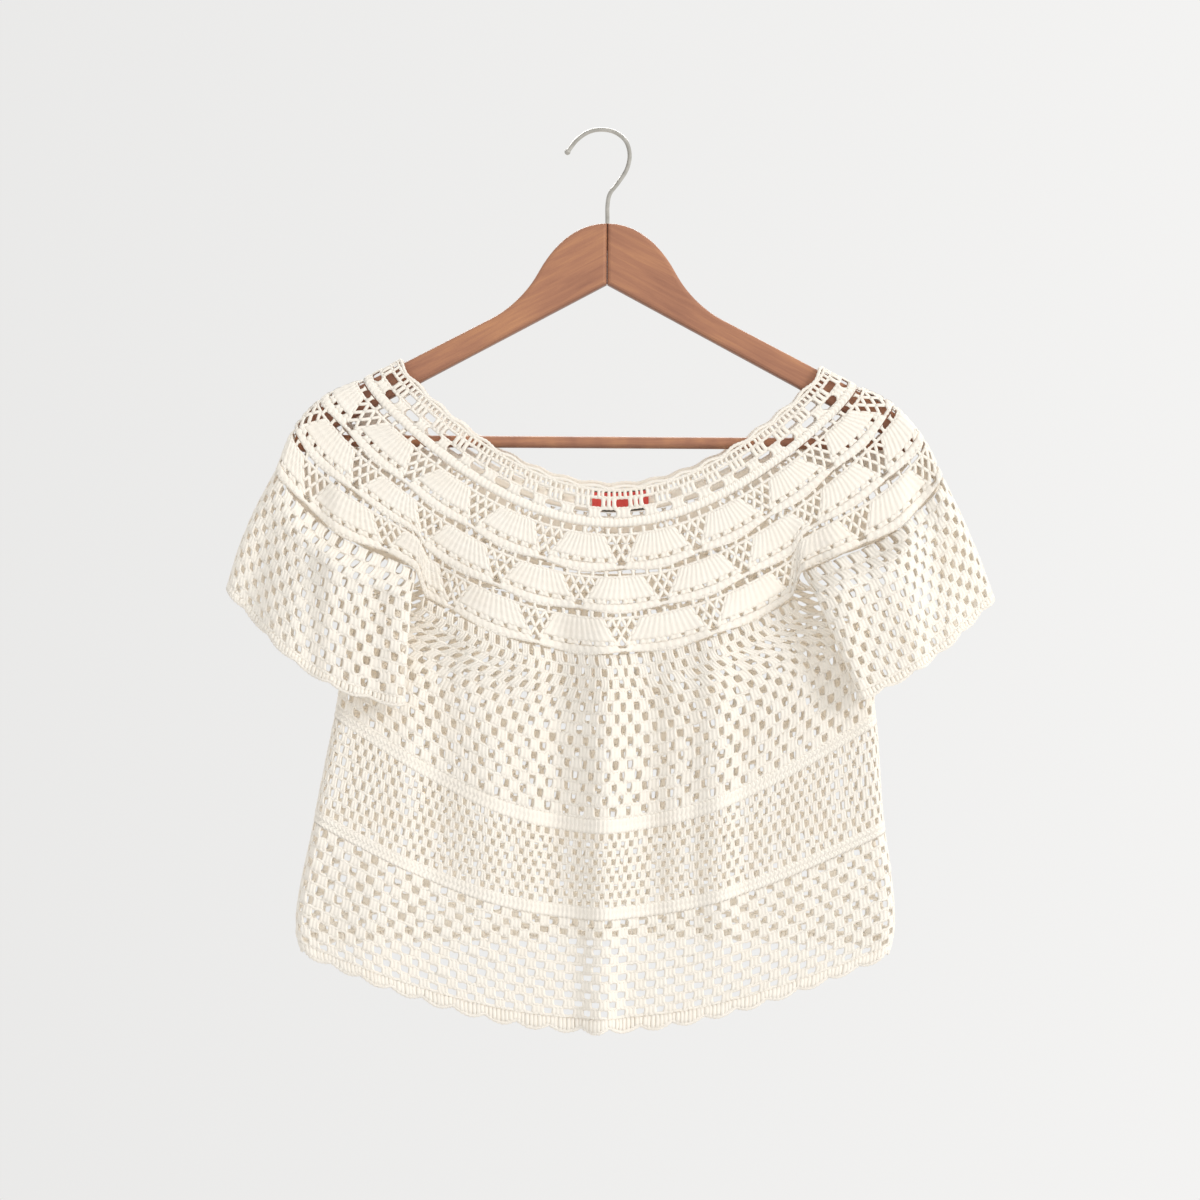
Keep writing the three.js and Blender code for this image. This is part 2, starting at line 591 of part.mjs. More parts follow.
function toGeometry(solid) {
  const mesh = solid.getMesh();
  const geometry = new THREE.BufferGeometry();
  geometry.setAttribute("position", new THREE.BufferAttribute(new Float32Array(mesh.vertProperties), 3));
  geometry.setIndex(new THREE.BufferAttribute(new Uint32Array(mesh.triVerts), 1));
  geometry.computeVertexNormals();
  return geometry;
}

// A cylinder along z (upright) or x, from its lower to its upper end.
function rod(radius, from, to, sides, alongX) {
  const geometry = new THREE.CylinderGeometry(radius, radius, to - from, sides);
  if (alongX) geometry.rotateZ(Math.PI / 2).translate((from + to) / 2, 0, 0);
  else geometry.rotateX(Math.PI / 2).translate(0, 0, (from + to) / 2);
  return geometry;
}

// Outline of one arm in its own plane: x outwards from the joint, y up.
function armOutline() {
  const outline = new THREE.Shape();
  outline.moveTo(glueJoint / 2, notchZ);
  outline.lineTo(glueJoint / 2, armTopZ);
  outline.bezierCurveTo(22, armTopZ, 38, -80, 48.5, -99.5); // the raised middle
  outline.bezierCurveTo(55, -111.6, 67, -124.4, 81, -131.7); // its hollow flank
  outline.lineTo(190, -188.2); // the straight shoulder
  outline.bezierCurveTo(203, -194.9, 212.5, -205, 218.5, -216); // the rounded end
  outline.quadraticCurveTo(222, -226.5, 211, -226.5);
  outline.quadraticCurveTo(203, -225.5, 194, -211.1);
  outline.closePath();
  return outline;
}

function armGeometry(side) {
  const geometry = new THREE.ExtrudeGeometry(armOutline(), {
    depth: armThickness - 2 * armBevel,
    bevelEnabled: true,
    bevelThickness: armBevel,
    bevelSize: armBevel,
    bevelOffset: -armBevel,
    bevelSegments: 3,
    curveSegments: 10,
  });
  geometry.translate(0, 0, -(armThickness / 2 - armBevel));
  geometry.rotateX(Math.PI / 2);
  const stemBore = rod(wireRadius + fitClearance, stemBoreEndZ, armTopZ + cutPast, stemSides, false);
  const barBore = rod(barRadius + fitClearance, barBoreStart, barBoreEnd, barSides, true)
    .translate(0, 0, barZ);
  const solid = toManifold(geometry).subtract(toManifold(stemBore)).subtract(toManifold(barBore));
  return toGeometry(side < 0 ? solid.mirror([1, 0, 0]) : solid);
}

function barGeometry() {
  return rod(barRadius, -barHalfLength, barHalfLength, barSides, true).translate(0, 0, barZ);
}

// The hook's wire, from the tip over the crown and down the stem, in the hanger's plane.
const hookRoute = [
  [-28.4, -14.4], [-21.5, -5.6], [-13, 0], [-4.2, 1.5], [5, -0.3], [12.4, -6.2], [15.4, -15.5],
  [13.6, -26], [7.5, -35.8], [1.5, -44], [0, -52], [0, -62], [0, stemEndZ],
];

function hookGeometry() {
  const route = new THREE.CatmullRomCurve3(hookRoute.map(([x, z]) => new THREE.Vector3(x, 0, z)));
  const section = new THREE.Shape();
  section.absarc(0, 0, wireRadius, 0, 2 * Math.PI, false);
  const wire = new THREE.ExtrudeGeometry(section, {
    steps: hookSteps, extrudePath: route, curveSegments: hookSides / 2,
  });
  const tip = new THREE.SphereGeometry(hookTipRadius, 12, 8);
  tip.translate(hookRoute[0][0], 0, hookRoute[0][1]);
  return toGeometry(toManifold(wire).add(toManifold(tip)));
}

const wood = () => new THREE.MeshStandardMaterial({ color: 0xb0795f, roughness: 0.45, metalness: 0 });
const chrome = () => new THREE.MeshStandardMaterial({ color: 0xc9c8c6, roughness: 0.2, metalness: 1 });

// The hanger hangs a little down at plus X, about the point that the rail carries.
const hanger = new THREE.Group();
hanger.name = "hanger";
hanger.rotation.y = THREE.MathUtils.degToRad(hangerTilt);
const hangerParts = new THREE.Group();
hangerParts.position.x = stemX;
const woodParts = new THREE.Group();
woodParts.position.z = -woodDrop;
hangerParts.add(woodParts);
hanger.add(hangerParts);

addMesh(woodParts, "hanger_arm_right", armGeometry(-1), wood());
addMesh(woodParts, "hanger_arm_left", armGeometry(1), wood());
addMesh(woodParts, "hanger_bar", barGeometry(), wood());
addMesh(hangerParts, "hanger_hook", hookGeometry(), chrome());

const part = new THREE.Group();
part.name = "sweater_on_hanger";
part.add(garment, hanger);
part.updateMatrixWorld(true);

export default part;
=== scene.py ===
import math

import bpy
import numpy as np
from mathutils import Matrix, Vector


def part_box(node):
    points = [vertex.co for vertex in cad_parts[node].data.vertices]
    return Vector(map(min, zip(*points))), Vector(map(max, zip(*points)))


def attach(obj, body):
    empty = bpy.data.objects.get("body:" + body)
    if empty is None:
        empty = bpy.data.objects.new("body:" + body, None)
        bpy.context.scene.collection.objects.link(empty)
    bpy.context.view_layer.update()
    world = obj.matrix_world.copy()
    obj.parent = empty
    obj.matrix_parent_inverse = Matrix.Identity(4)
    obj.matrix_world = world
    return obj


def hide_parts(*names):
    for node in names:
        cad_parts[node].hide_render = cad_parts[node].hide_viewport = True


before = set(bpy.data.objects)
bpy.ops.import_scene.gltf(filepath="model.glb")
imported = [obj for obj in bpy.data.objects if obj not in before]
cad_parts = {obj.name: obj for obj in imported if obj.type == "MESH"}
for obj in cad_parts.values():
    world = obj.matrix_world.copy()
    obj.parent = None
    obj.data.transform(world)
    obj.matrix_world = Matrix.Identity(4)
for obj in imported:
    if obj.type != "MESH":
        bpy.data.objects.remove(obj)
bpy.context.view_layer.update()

# Cloth is worked out in millimetres, in the frame's own axes, and made in metres.
MM = 0.001


def add_object(name, data):
    thing = bpy.data.objects.new(name, data)
    bpy.context.scene.collection.objects.link(thing)
    return thing


def add_piece(name, mesh, node=None):
    """A piece that rides the one body, and takes the place of a node of the frame."""
    piece = add_object(name, mesh)
    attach(piece, "root")
    if node:
        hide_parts(node)
    return piece


# ------------------------------------------------------------------ camera

SHOT_WIDTH = 0.840
SHOT_DISTANCE = 2.2
SHOT_X, SHOT_Y, SHOT_Z = -0.0014, -0.015, -0.330
SENSOR = 36.0

camera_data = bpy.data.cameras.new("camera")
camera_data.sensor_width = SENSOR
camera_data.lens = SENSOR * SHOT_DISTANCE / SHOT_WIDTH
camera = add_object("camera", camera_data)
camera.location = (SHOT_X, SHOT_Y - SHOT_DISTANCE, SHOT_Z)
camera.rotation_euler = (math.pi / 2, 0, 0)
bpy.context.scene.camera = camera

# ------------------------------------------------------------------ the hanging cloth's surfaces
# The same formulas and tables as the CAD part's, so that each piece lies in its node's wall.

SHOULDER_Z, SHOULDER_DEPTH, DEPTH_PER_DROP = -160.0, 10.5, 0.034
SHOULDER_ROLL, INNER_ROLL, ROLL_POWER = 8.0, 9.0, 2.6
LIFT_START, LIFT_OUTSIDE, LIFT_INSIDE, DENT_START = 60.0, (0, 70), (1, 9), (0.5, 10)

COURSE_COLUMNS = ("reach", "minus_x", "minus_z", "middle_x", "front_z", "back_z",
                  "plus_x", "plus_z", "front_full", "back_full")
YOKE_COURSES = [
    (0, -141.5, -159.4, 8, -250, -247, 154, -164.5, 0.28, 0.3),
    (3.5, -144.5, -161, 8, -253.5, -249.5, 157, -166.2, 0.28, 0.3),
    (29, -168, -173, 7, -279, -268, 179.5, -178, 0.28, 0.35),
    (60.5, -197.5, -187, 6, -310.5, -289, 206, -192, 0.28, 0.4),
    (88.5, -217, -208, 5, -338.5, -309.5, 226, -214.5, 0.28, 0.6),
    (118.5, -229, -236, 4, -368.5, -330, 240, -242, 0.28, 0.8),
]
BODY_COLUMNS = COURSE_COLUMNS + ("minus_side", "plus_side", "side_roll")
BODY_COURSES = [
    (118.5, -229, -236, 4, -368.5, -330, 240, -242, 0.28, 0.8, -127, 136.5, 4),
    (130, -225, -252, 4, -380, -339.5, 235.5, -258, 0.26, 0.72, -130.5, 142.5, 5),
    (150, -217.5, -282, 3, -400, -356, 227, -288, 0.2, 0.58, -158, 168, 9),
    (232.5, -187, -403.5, 0, -482.5, -424, 192.5, -408.5, 0, 0, -187, 192.5, 11),
    (242.5, -188.5, -411.5, -1, -492.5, -432, 193.5, -416.5, 0, 0, -188.5, 193.5, 11),
    (294, -201.5, -476.5, -2, -544.5, -492, 198.5, -484.5, 0, 0, -201.5, 198.5, 11),
    (302.5, -203, -485, -2, -553, -500, 199.5, -492.5, 0, 0, -203, 199.5, 11),
    (370.5, -214.5, -567, -3, -621, -562, 204.5, -569, 0, 0, -214.5, 204.5, 11),
    (382.5, -211.5, -577, -3, -633, -572, 201.5, -579, 0, 0, -211.5, 201.5, 11),
]

SLEEVES = {
    "right": dict(side=-1, fold_x=-131, cuff_outer=(-265, -323), cuff_inner=(-137, -405),
                  sag=19, bow=4, forward=31),
    "left": dict(side=1, fold_x=141, cuff_outer=(277, -330), cuff_inner=(180, -401),
                 sag=8, bow=2, forward=31),
}
SLEEVE_EDGING, SLEEVE_LENGTH, SLEEVE_SWING, SLEEVE_GAP = 7.0, 92.0, 24.0, 0.9
SWING_ACROSS, SLEEVE_FLATTENS, SLEEVE_SETTLES = (0.1, 0.62), (0.3, 0.65), 0.3
HALF_OUTER, HALF_INNER = 13.0, 5.5

# Each fold: where its top and its end are in x and z, how far out it stands, its half width, and the
# shares of its length over which it fades in and out.
BODY_FOLDS = [
    (4, -300, -1, -660, 9, 21, 0.25, 0.02),
    (-31, -305, -34, -590, -6.5, 21, 0.2, 0.3),
    (33, -345, 34, -590, -6, 20, 0.2, 0.3),
    (78, -320, 83, -600, 6, 20, 0.2, 0.25),
    (-75, -380, -80, -570, 3.5, 26, 0.3, 0.3),
    (-112, -330, -120, -560, -4.5, 24, 0.2, 0.3),
    (-150, -470, -170, -680, 4, 40, 0.3, 0.02),
    (132, -290, 166, -430, -7, 20, 0.25, 0.3),
]
SLEEVE_FOLDS = [
    (-222, -235, -236, -400, 3, 15, 0.3, 0.05),
    (-199, -226, -205, -410, -5.5, 17, 0.2, 0.15),
    (-156, -270, -158, -420, -2.5, 14, 0.3, 0.2),
    (160, -250, 176, -420, 3, 16, 0.3, 0.05),
    (222, -222, 232, -380, -5.5, 16, 0.25, 0.05),
    (244, -250, 262, -400, 3, 18, 0.3, 0.05),
]
BACK_FOLDS = [
    (-48, -300, -58, -620, 6, 26, 0.3, 0.02),
    (-8, -310, -6, -600, -4.5, 24, 0.3, 0.1),
    (38, -315, 52, -640, 5, 24, 0.3, 0.02),
    (96, -320, 104, -590, -4, 26, 0.3, 0.2),
    (-112, -330, -118, -600, -4, 28, 0.3, 0.2),
]
UNDERARM_DENTS = [(-134, -330, 34, 0.65), (146, -330, 34, 0.65)]  # x, z, radius, share


def smooth(low, high, value):
    t = np.clip((value - low) / (high - low), 0, 1)
    return t * t * (3 - 2 * t)


def mix(a, b, t):
    return a + (b - a) * t


def course_at(table, columns, reach):
    """Every column of a table, smoothly between its rows, at an array of reaches."""
    rows = np.array(table, float)
    knots = rows[:, 0]
    rise = (rows[1:] - rows[:-1]) / (knots[1:] - knots[:-1])[:, None]
    slopes = np.empty_like(rows)
    slopes[0], slopes[-1] = rise[0], rise[-1]
    before = (knots[1:-1] - knots[:-2])[:, None]
    after = (knots[2:] - knots[1:-1])[:, None]
    slopes[1:-1] = (rise[:-1] * after + rise[1:] * before) / (before + after)
    i = np.clip(np.searchsorted(knots, reach, side="left") - 1, 0, len(knots) - 2)
    span = (knots[i + 1] - knots[i])[..., None]
    t = ((reach - knots[i]) / span[..., 0])[..., None]
    value = (rows[i] * (1 + 2 * t) * (1 - t) ** 2 + rows[i + 1] * (3 - 2 * t) * t * t
             + slopes[i] * span * t * (1 - t) ** 2 - slopes[i + 1] * span * t * t * (1 - t))
    return {name: value[..., k] for k, name in enumerate(columns)}


def course_z(course, x, front):
    minus = x < course["middle_x"]
    end_x = np.where(minus, course["minus_x"], course["plus_x"])
    end_z = np.where(minus, course["minus_z"], course["plus_z"])
    middle = course["front_z"] if front else course["back_z"]
    full = course["front_full"] if front else course["back_full"]
    w = np.clip((x - end_x) / (course["middle_x"] - end_x), 0, 1)
    sag = (1 - full) * np.sin(np.pi / 2 * w) + full * np.sqrt(1 - (1 - w) ** 2)
    return end_z + (middle - end_z) * sag


def fold_out(folds, x, z):
    out = np.zeros_like(x)
    for top_x, top_z, end_x, end_z, push, width, fade_in, fade_out in folds:
        along = (top_z - z) / (top_z - end_z)
        across = np.abs(x - mix(top_x, end_x, along)) / width
        envelope = smooth(0, fade_in, along) * (1 - smooth(1 - fade_out, 1, along))
        inside = (along > 0) & (along < 1) & (across < 1)
        out += np.where(inside, push * envelope * 0.5 * (1 + np.cos(np.pi * across)), 0)
    return out


def base_depth(z):
    return SHOULDER_DEPTH + (SHOULDER_Z - z) * DEPTH_PER_DROP


def roll(distance, radius):
    left = 1 - np.clip(distance / radius, 0, 1)
    return (1 - left ** ROLL_POWER) ** (1 / ROLL_POWER)


def dent_share(x, z):
    keep = np.ones_like(x)
    for dent_x, dent_z, radius, share in UNDERARM_DENTS:
        distance = np.hypot(x - dent_x, z - dent_z) / radius
        keep *= 1 - share * np.exp(-distance * distance)
    return keep


def edge_course():
    return {name: np.float64(value) for name, value in zip(COURSE_COLUMNS, YOKE_COURSES[-1])}


def sleeve_lift(x, reach):
    edge = edge_course()
    grown = smooth(LIFT_START, edge["reach"], reach)
    lift = np.zeros_like(x)
    for sleeve in SLEEVES.values():
        fold_x = np.float64(sleeve["fold_x"])
        full = course_z(edge, fold_x, False) - course_z(edge, fold_x, True)
        outside = (x - fold_x) * sleeve["side"]
        faded = np.where(outside > 0, smooth(*LIFT_OUTSIDE, outside), smooth(*LIFT_INSIDE, -outside))
        lift += full * grown * (1 - faded)
    return lift


def yoke_dent(x, z):
    keep = np.ones_like(x)
    for sleeve in SLEEVES.values():
        inside = (sleeve["fold_x"] - x) * sleeve["side"]
        keep *= mix(1, dent_share(x, z), smooth(*DENT_START, inside))
    return keep


def ring_x(u, minus_x, middle_x, plus_x):
    return np.where(u < 0.5, mix(minus_x, middle_x, u * 2), mix(middle_x, plus_x, u * 2 - 1))


def yoke_point(u, reach, front):
    course = course_at(YOKE_COURSES, COURSE_COLUMNS, reach)
    x = ring_x(u, course["minus_x"], course["middle_x"], course["plus_x"])
    z = course_z(course, x, front)
    if front:
        z = z + sleeve_lift(x, reach)
    end_x = np.where(u < 0.5, course["minus_x"], course["plus_x"])
    end_z = np.where(u < 0.5, course["minus_z"], course["plus_z"])
    turned = roll(np.hypot(x - end_x, z - end_z), SHOULDER_ROLL)
    if not front:
        return np.stack([x, (base_depth(z) + fold_out(BACK_FOLDS, x, z)) * turned, z], -1)
    in_sleeve = np.zeros(x.shape, bool)
    for sleeve in SLEEVES.values():
        in_sleeve |= (x - sleeve["fold_x"]) * sleeve["side"] > 0
    folds = np.where(in_sleeve, fold_out(SLEEVE_FOLDS, x, z), fold_out(BODY_FOLDS, x, z))
    return np.stack([x, -(base_depth(z) + folds) * turned * yoke_dent(x, z), z], -1)


def body_point(u, reach, front):
    course = course_at(BODY_COURSES, BODY_COLUMNS, reach)
    x = ring_x(u, course["minus_side"], course["middle_x"], course["plus_side"])
    z = course_z(course, x, front)
    side_x = np.where(u < 0.5, course["minus_side"], course["plus_side"])
    side_z = course_z(course, side_x, front)
    turned = roll(np.hypot(x - side_x, z - side_z), course["side_roll"])
    folds = fold_out(BODY_FOLDS if front else BACK_FOLDS, x, z)
    depth = (base_depth(z) + folds) * turned * (dent_share(x, z) if front else 1)
    return np.stack([x, -depth if front else depth, z], -1)


def yoke_edge_z(x, front):
    edge = edge_course()
    z = course_z(edge, x, front)
    return z + sleeve_lift(x, edge["reach"]) if front else z


def sleeve_outer(sleeve):
    edge = edge_course()
    side = "minus" if sleeve["side"] < 0 else "plus"
    return edge[side + "_x"], edge[side + "_z"]


def sleeve_middle(sleeve, x, z):
    outer_x, outer_z = sleeve_outer(sleeve)
    cuff_x, cuff_z = sleeve["cuff_outer"]
    outer_at = mix(outer_x, cuff_x, (outer_z - z) / (outer_z - cuff_z))
    inner_top = yoke_edge_z(np.float64(sleeve["fold_x"]), True)
    cuff_x, cuff_z = sleeve["cuff_inner"]
    fallen = np.clip((inner_top - z) / (inner_top - cuff_z), 0, 1)
    inner_at = mix(sleeve["fold_x"], cuff_x, fallen)
    across = (x - outer_at) / (inner_at - outer_at)
    drop = yoke_edge_z(x, True) - z
    return -sleeve["forward"] * smooth(*SWING_ACROSS, across) * smooth(0, SLEEVE_SWING, drop)


def sleeve_point(sleeve, u, v, front):
    outer_x, _ = sleeve_outer(sleeve)
    top_x = mix(outer_x, sleeve["fold_x"], u)
    top_z = yoke_edge_z(top_x, front)
    cuff_outer, cuff_inner = sleeve["cuff_outer"], sleeve["cuff_inner"]
    cuff_x = mix(cuff_outer[0], cuff_inner[0], u)
    cuff_z = mix(cuff_outer[1], cuff_inner[1], u) - sleeve["sag"] * np.sin(np.pi * u)
    bow = sleeve["bow"] * np.sin(np.pi * v) * (1 - u)
    x = mix(top_x, cuff_x, v) + sleeve["side"] * bow
    z = mix(top_z, cuff_z, v)
    width = np.abs(mix(outer_x, cuff_outer[0], v) - mix(sleeve["fold_x"], cuff_inner[0], v))
    turned = roll(u * width, SHOULDER_ROLL) * roll((1 - u) * width, INNER_ROLL)
    middle = sleeve_middle(sleeve, x, z)
    loose = mix(HALF_OUTER, HALF_INNER, smooth(*SLEEVE_FLATTENS, u))
    half = mix(base_depth(z), loose, smooth(0, SLEEVE_SETTLES, v))
    folds = fold_out(SLEEVE_FOLDS, x, z) if front else 0
    y = middle - (half + folds) * turned if front else middle + half * turned
    return np.stack([x, y, z], -1)


# ------------------------------------------------------------------ fabric space

WALL_MIDDLE = 1.1  # the yarn's middle lies this deep under the cloth's outer face
GRID_COLUMNS, GRID_STEP, LEAST_ROWS = 420, 1.6, 6
# How strongly the grid's columns crowd where the cloth turns at its two sides.
CROWDING = 0.8
TINY = 1e-9


def unit(vectors):
    return vectors / np.maximum(np.linalg.norm(vectors, axis=-1, keepdims=True), TINY)


class Fabric:
    """A stretch of cloth. A place on it is a share along its row, a reach down it and a height
    out of it. surface gives the points of a share, a reach and whether it is the front."""

    def __init__(self, surface, start, end, front):
        self.start, self.end = start, end
        count = max(LEAST_ROWS, int(round((end - start) / GRID_STEP)) + 1)
        self.reaches = np.linspace(start, end, count)
        even = np.linspace(0, 1, GRID_COLUMNS)
        crowded = even - CROWDING * np.sin(2 * np.pi * even) / (2 * np.pi)
        u, r = np.meshgrid(crowded, self.reaches)
        points = surface(u, r, front)
        along = np.linalg.norm(np.diff(points, axis=1), axis=2)
        travelled = np.concatenate([np.zeros((count, 1)), np.cumsum(along, axis=1)], axis=1)
        self.lengths = travelled[:, -1]
        laid = np.empty_like(points)
        for i in range(count):
            for k in range(3):
                laid[i, :, k] = np.interp(even * self.lengths[i], travelled[i], points[i, :, k])
        across = np.gradient(laid, axis=1)
        down = np.gradient(laid, axis=0)
        normal = unit(np.cross(across, down))
        facing = -1 if front else 1
        flip = np.where(normal[..., 1:2] * facing < 0, -1.0, 1.0)
        self.mirrored = float(flip.mean()) > 0
        self.normals = normal * flip
        self.points = laid

    def length(self, reach):
        return np.interp(reach, self.reaches, self.lengths)

    def length_between(self, start, end):
        return float(self.length((start + end) / 2))

    def at(self, share, reach, out):
        rows, columns = self.points.shape[:2]
        i = np.clip((reach - self.start) / (self.end - self.start) * (rows - 1), 0, rows - 1.0001)
        j = np.clip(share * (columns - 1), 0, columns - 1.0001)
        i0, j0 = i.astype(int), j.astype(int)
        fi, fj = (i - i0)[..., None], (j - j0)[..., None]

        def lookup(grid):
            return ((grid[i0, j0] * (1 - fj) + grid[i0, j0 + 1] * fj) * (1 - fi)
                    + (grid[i0 + 1, j0] * (1 - fj) + grid[i0 + 1, j0 + 1] * fj) * fi)

        normal = unit(lookup(self.normals))
        return lookup(self.points) + normal * (np.asarray(out) - WALL_MIDDLE)[..., None], normal


# The valleys between a block's ribs and its flat underside, as shares of a rib's height.
LOBE_VALLEY, LOBE_UNDER = 0.35, 0.75
LOBE_STEPS = 4
UV_STEP, UV_REPEAT = 7.31, 40


def lobed_ring(lobes):
    """Once round a row of fused stitches: how far across it (-1 to 1) and out of it (-1 to 1),
    and the small faces that close its end."""
    per = LOBE_STEPS
    across = np.linspace(-1, 1, per * lobes + 1)
    turn = np.abs(np.sin(np.pi * np.arange(len(across)) / per))
    rise = LOBE_VALLEY + (1 - LOBE_VALLEY) * turn
    rise[0] = rise[-1] = 0.0
    under = np.arange(lobes - 1, 0, -1) * per
    ends = []
    for k in range(lobes):
        face = list(range(k * per, (k + 1) * per + 1))
        face += [len(across) + lobes - 1 - q for q in (k + 1, k) if 0 < q < lobes]
        ends.append(np.array(face))
    flat = np.full(len(under), -LOBE_UNDER)
    return np.concatenate([across, across[under]]), np.concatenate([rise, flat]), ends


class Yarn:
    """Gathers closed skins of yarn on a stretch of cloth and makes one mesh of them."""

    def __init__(self, surface, start, end, front):
        self.fabric = Fabric(surface, start, end, front)
        self.vertices, self.uvs, self.quads, self.caps = [], [], [], []
        self.count = 0

    def tubes(self, share, reach, out, radius, sides, flat):
        """One tube for each row of the arrays, along its points."""
        share, reach, out, radius = np.broadcast_arrays(share, reach, out, radius)
        centre, normal = self.fabric.at(share, reach, out)
        tangent = unit(np.gradient(centre, axis=1))
        side = unit(np.cross(tangent, normal))
        up = np.cross(side, tangent)
        turn = np.arange(sides) * 2 * np.pi / sides
        ring = (side[:, :, None] * np.cos(turn)[None, None, :, None]
                + up[:, :, None] * np.sin(turn)[None, None, :, None] * flat)
        vertices = centre[:, :, None] + ring * radius[:, :, None, None]
        self.skin(vertices, np.arange(sides) / sides, [np.arange(sides)])

    def blocks(self, share, reach, width, out, thick, lobes, bow):
        """Stitches grown together, side by side: a ribbed solid for each row of the arrays."""
        across, rise, ends = lobed_ring(lobes)
        if self.fabric.mirrored:
            across = -across
        length = self.fabric.length(reach)[..., None]
        where = share[..., None] + across * width[..., None] / 2 / length
        down = reach[..., None] + bow[..., None] * (1 - across ** 2)
        vertices, _ = self.fabric.at(where, down, out[..., None] + rise * thick[..., None])
        self.skin(vertices, across * lobes / 2, ends)

    def skin(self, vertices, round_uv, ends):
        """Closed skins over rings of points: (skins, rings, points in a ring, 3)."""
        tubes, points, sides = vertices.shape[:3]
        middle = vertices.mean(axis=2)
        step = np.linalg.norm(np.diff(middle, axis=1), axis=2)
        along = np.concatenate([np.zeros((tubes, 1)), np.cumsum(step, axis=1)], axis=1)
        # Each skin's texture starts at its own place, so that no two are alike.
        along = along + (np.arange(tubes) * UV_STEP % UV_REPEAT)[:, None]
        uv = np.stack(np.broadcast_arrays(round_uv[None, None, :], along[:, :, None]), -1)
        base = self.count + np.arange(tubes)[:, None, None] * points * sides
        i = np.arange(points - 1)[None, :, None] * sides
        j = np.arange(sides)[None, None, :]
        nxt = (j + 1) % sides
        quads = np.stack(np.broadcast_arrays(
            base + i + j, base + i + nxt, base + i + sides + nxt, base + i + sides + j), -1)
        self.quads.append(quads.reshape(-1, 4))
        first = self.count + np.arange(tubes)[:, None] * points * sides
        last = first + (points - 1) * sides
        for end in ends:
            self.caps.append((first + end[::-1][None], last + end[None]))
        self.vertices.append(vertices.reshape(-1, 3))
        self.uvs.append(uv.reshape(-1, 2))
        self.count += tubes * points * sides

    def mesh(self, name):
        vertices = np.concatenate(self.vertices) * MM
        uvs = np.concatenate(self.uvs)
        faces = [np.concatenate(self.quads)]
        for near, far in self.caps:
            faces += [near, far]
        totals = np.concatenate([np.full(len(f), f.shape[1]) for f in faces])
        corners = np.concatenate([f.ravel() for f in faces])
        mesh = bpy.data.meshes.new(name)
        mesh.vertices.add(len(vertices))
        mesh.vertices.foreach_set("co", vertices.ravel())
        mesh.loops.add(len(corners))
        mesh.loops.foreach_set("vertex_index", corners)
        mesh.polygons.add(len(totals))
        mesh.polygons.foreach_set("loop_start", np.concatenate([[0], np.cumsum(totals)[:-1]]))
        mesh.polygons.foreach_set("loop_total", totals)
        # The end faces stay flat, so that the shading of the sides doesn't bend towards them.
        mesh.polygons.foreach_set("use_smooth", np.arange(len(totals)) < len(faces[0]))
        layer = mesh.uv_layers.new(name="yarn")
        layer.data.foreach_set("uv", uvs[corners].ravel())
        mesh.update()
        mesh.validate()
        return mesh


# ------------------------------------------------------------------ stitches

# Blocking presses the stitches flat, so they are wider along the cloth than through it.
POST_WIDE, POST_FLAT, POST_SIDES = 1.2, 0.64, 6
CHAIN_WIDE, CHAIN_FLAT, CHAIN_SIDES = 1.25, 0.72, 5
# From a stitch's foot to its head: its size, its height out of the cloth and a block's width.
POST_POINTS = 4
POST_SHAPE = np.array([0.94, 1.03, 1.03, 0.94])
POST_OUT = np.array([-0.12, 0.18, 0.18, -0.1])
BLOCK_WAIST = np.array([1.1, 0.955, 0.955, 1.1])
# A block's ribs stand out of the cloth by this share of the yarn's radius.
THICKNESS = 0.78
# A chain's beads swell by this share, and lie on points from crest to dip.
CHAIN_SWELL, POINTS_PER_BEAD = 0.25, 2
# Shares nearer to a side fold than this one lie on it.
EDGE_SHARE = 0.001
# How far the stitches reach into the rows beside theirs, and how deep a row's ends dip, in millimetres.
ROW_LAP, ROW_DIP = 0.45, 0.3
POINTS_PER_ROW = 3
# The width of the half cluster at a side fold, as a share of a whole one.
HALF_CLUSTER = 0.41
# How uneven the work is where wobble is 1: sizes as shares, places in millimetres.
UNEVEN_POST, UNEVEN_BLOCK = 0.06, 0.05
UNEVEN_LEAN, UNEVEN_OUT, UNEVEN_SINK = 0.35, 0.12, 0.15
UNEVEN_CHAIN, UNEVEN_CHAIN_OUT, UNEVEN_ROWS = 0.2, 0.1, 0.1


def posts(yarn, share, reach, lap, radius, seed, wobble, out=0.0):
    """Single stitches. share and reach are pairs of arrays, at the feet and at the heads, and lap
    is what is added to those reaches."""
    draw = np.random.default_rng(seed)
    n = len(share[0])
    t = np.linspace(0, 1, POST_POINTS)[None]
    size = 1 + wobble * draw.normal(0, UNEVEN_POST, (n, 1))
    lean = draw.normal(0, wobble * UNEVEN_LEAN, (n, 1)) * np.sin(np.pi * t)
    length = yarn.fabric.length((reach[0] + reach[1]) / 2)[:, None]
    s = mix(share[0][:, None], share[1][:, None], t) + lean / length
    r = mix(reach[0][:, None] + lap[0], reach[1][:, None] + lap[1], t)
    lift = POST_OUT[None] + out + draw.normal(0, wobble * UNEVEN_OUT, (n, 1))
    yarn.tubes(s, r, lift, radius * POST_WIDE * POST_SHAPE[None] * size, POST_SIDES, POST_FLAT)


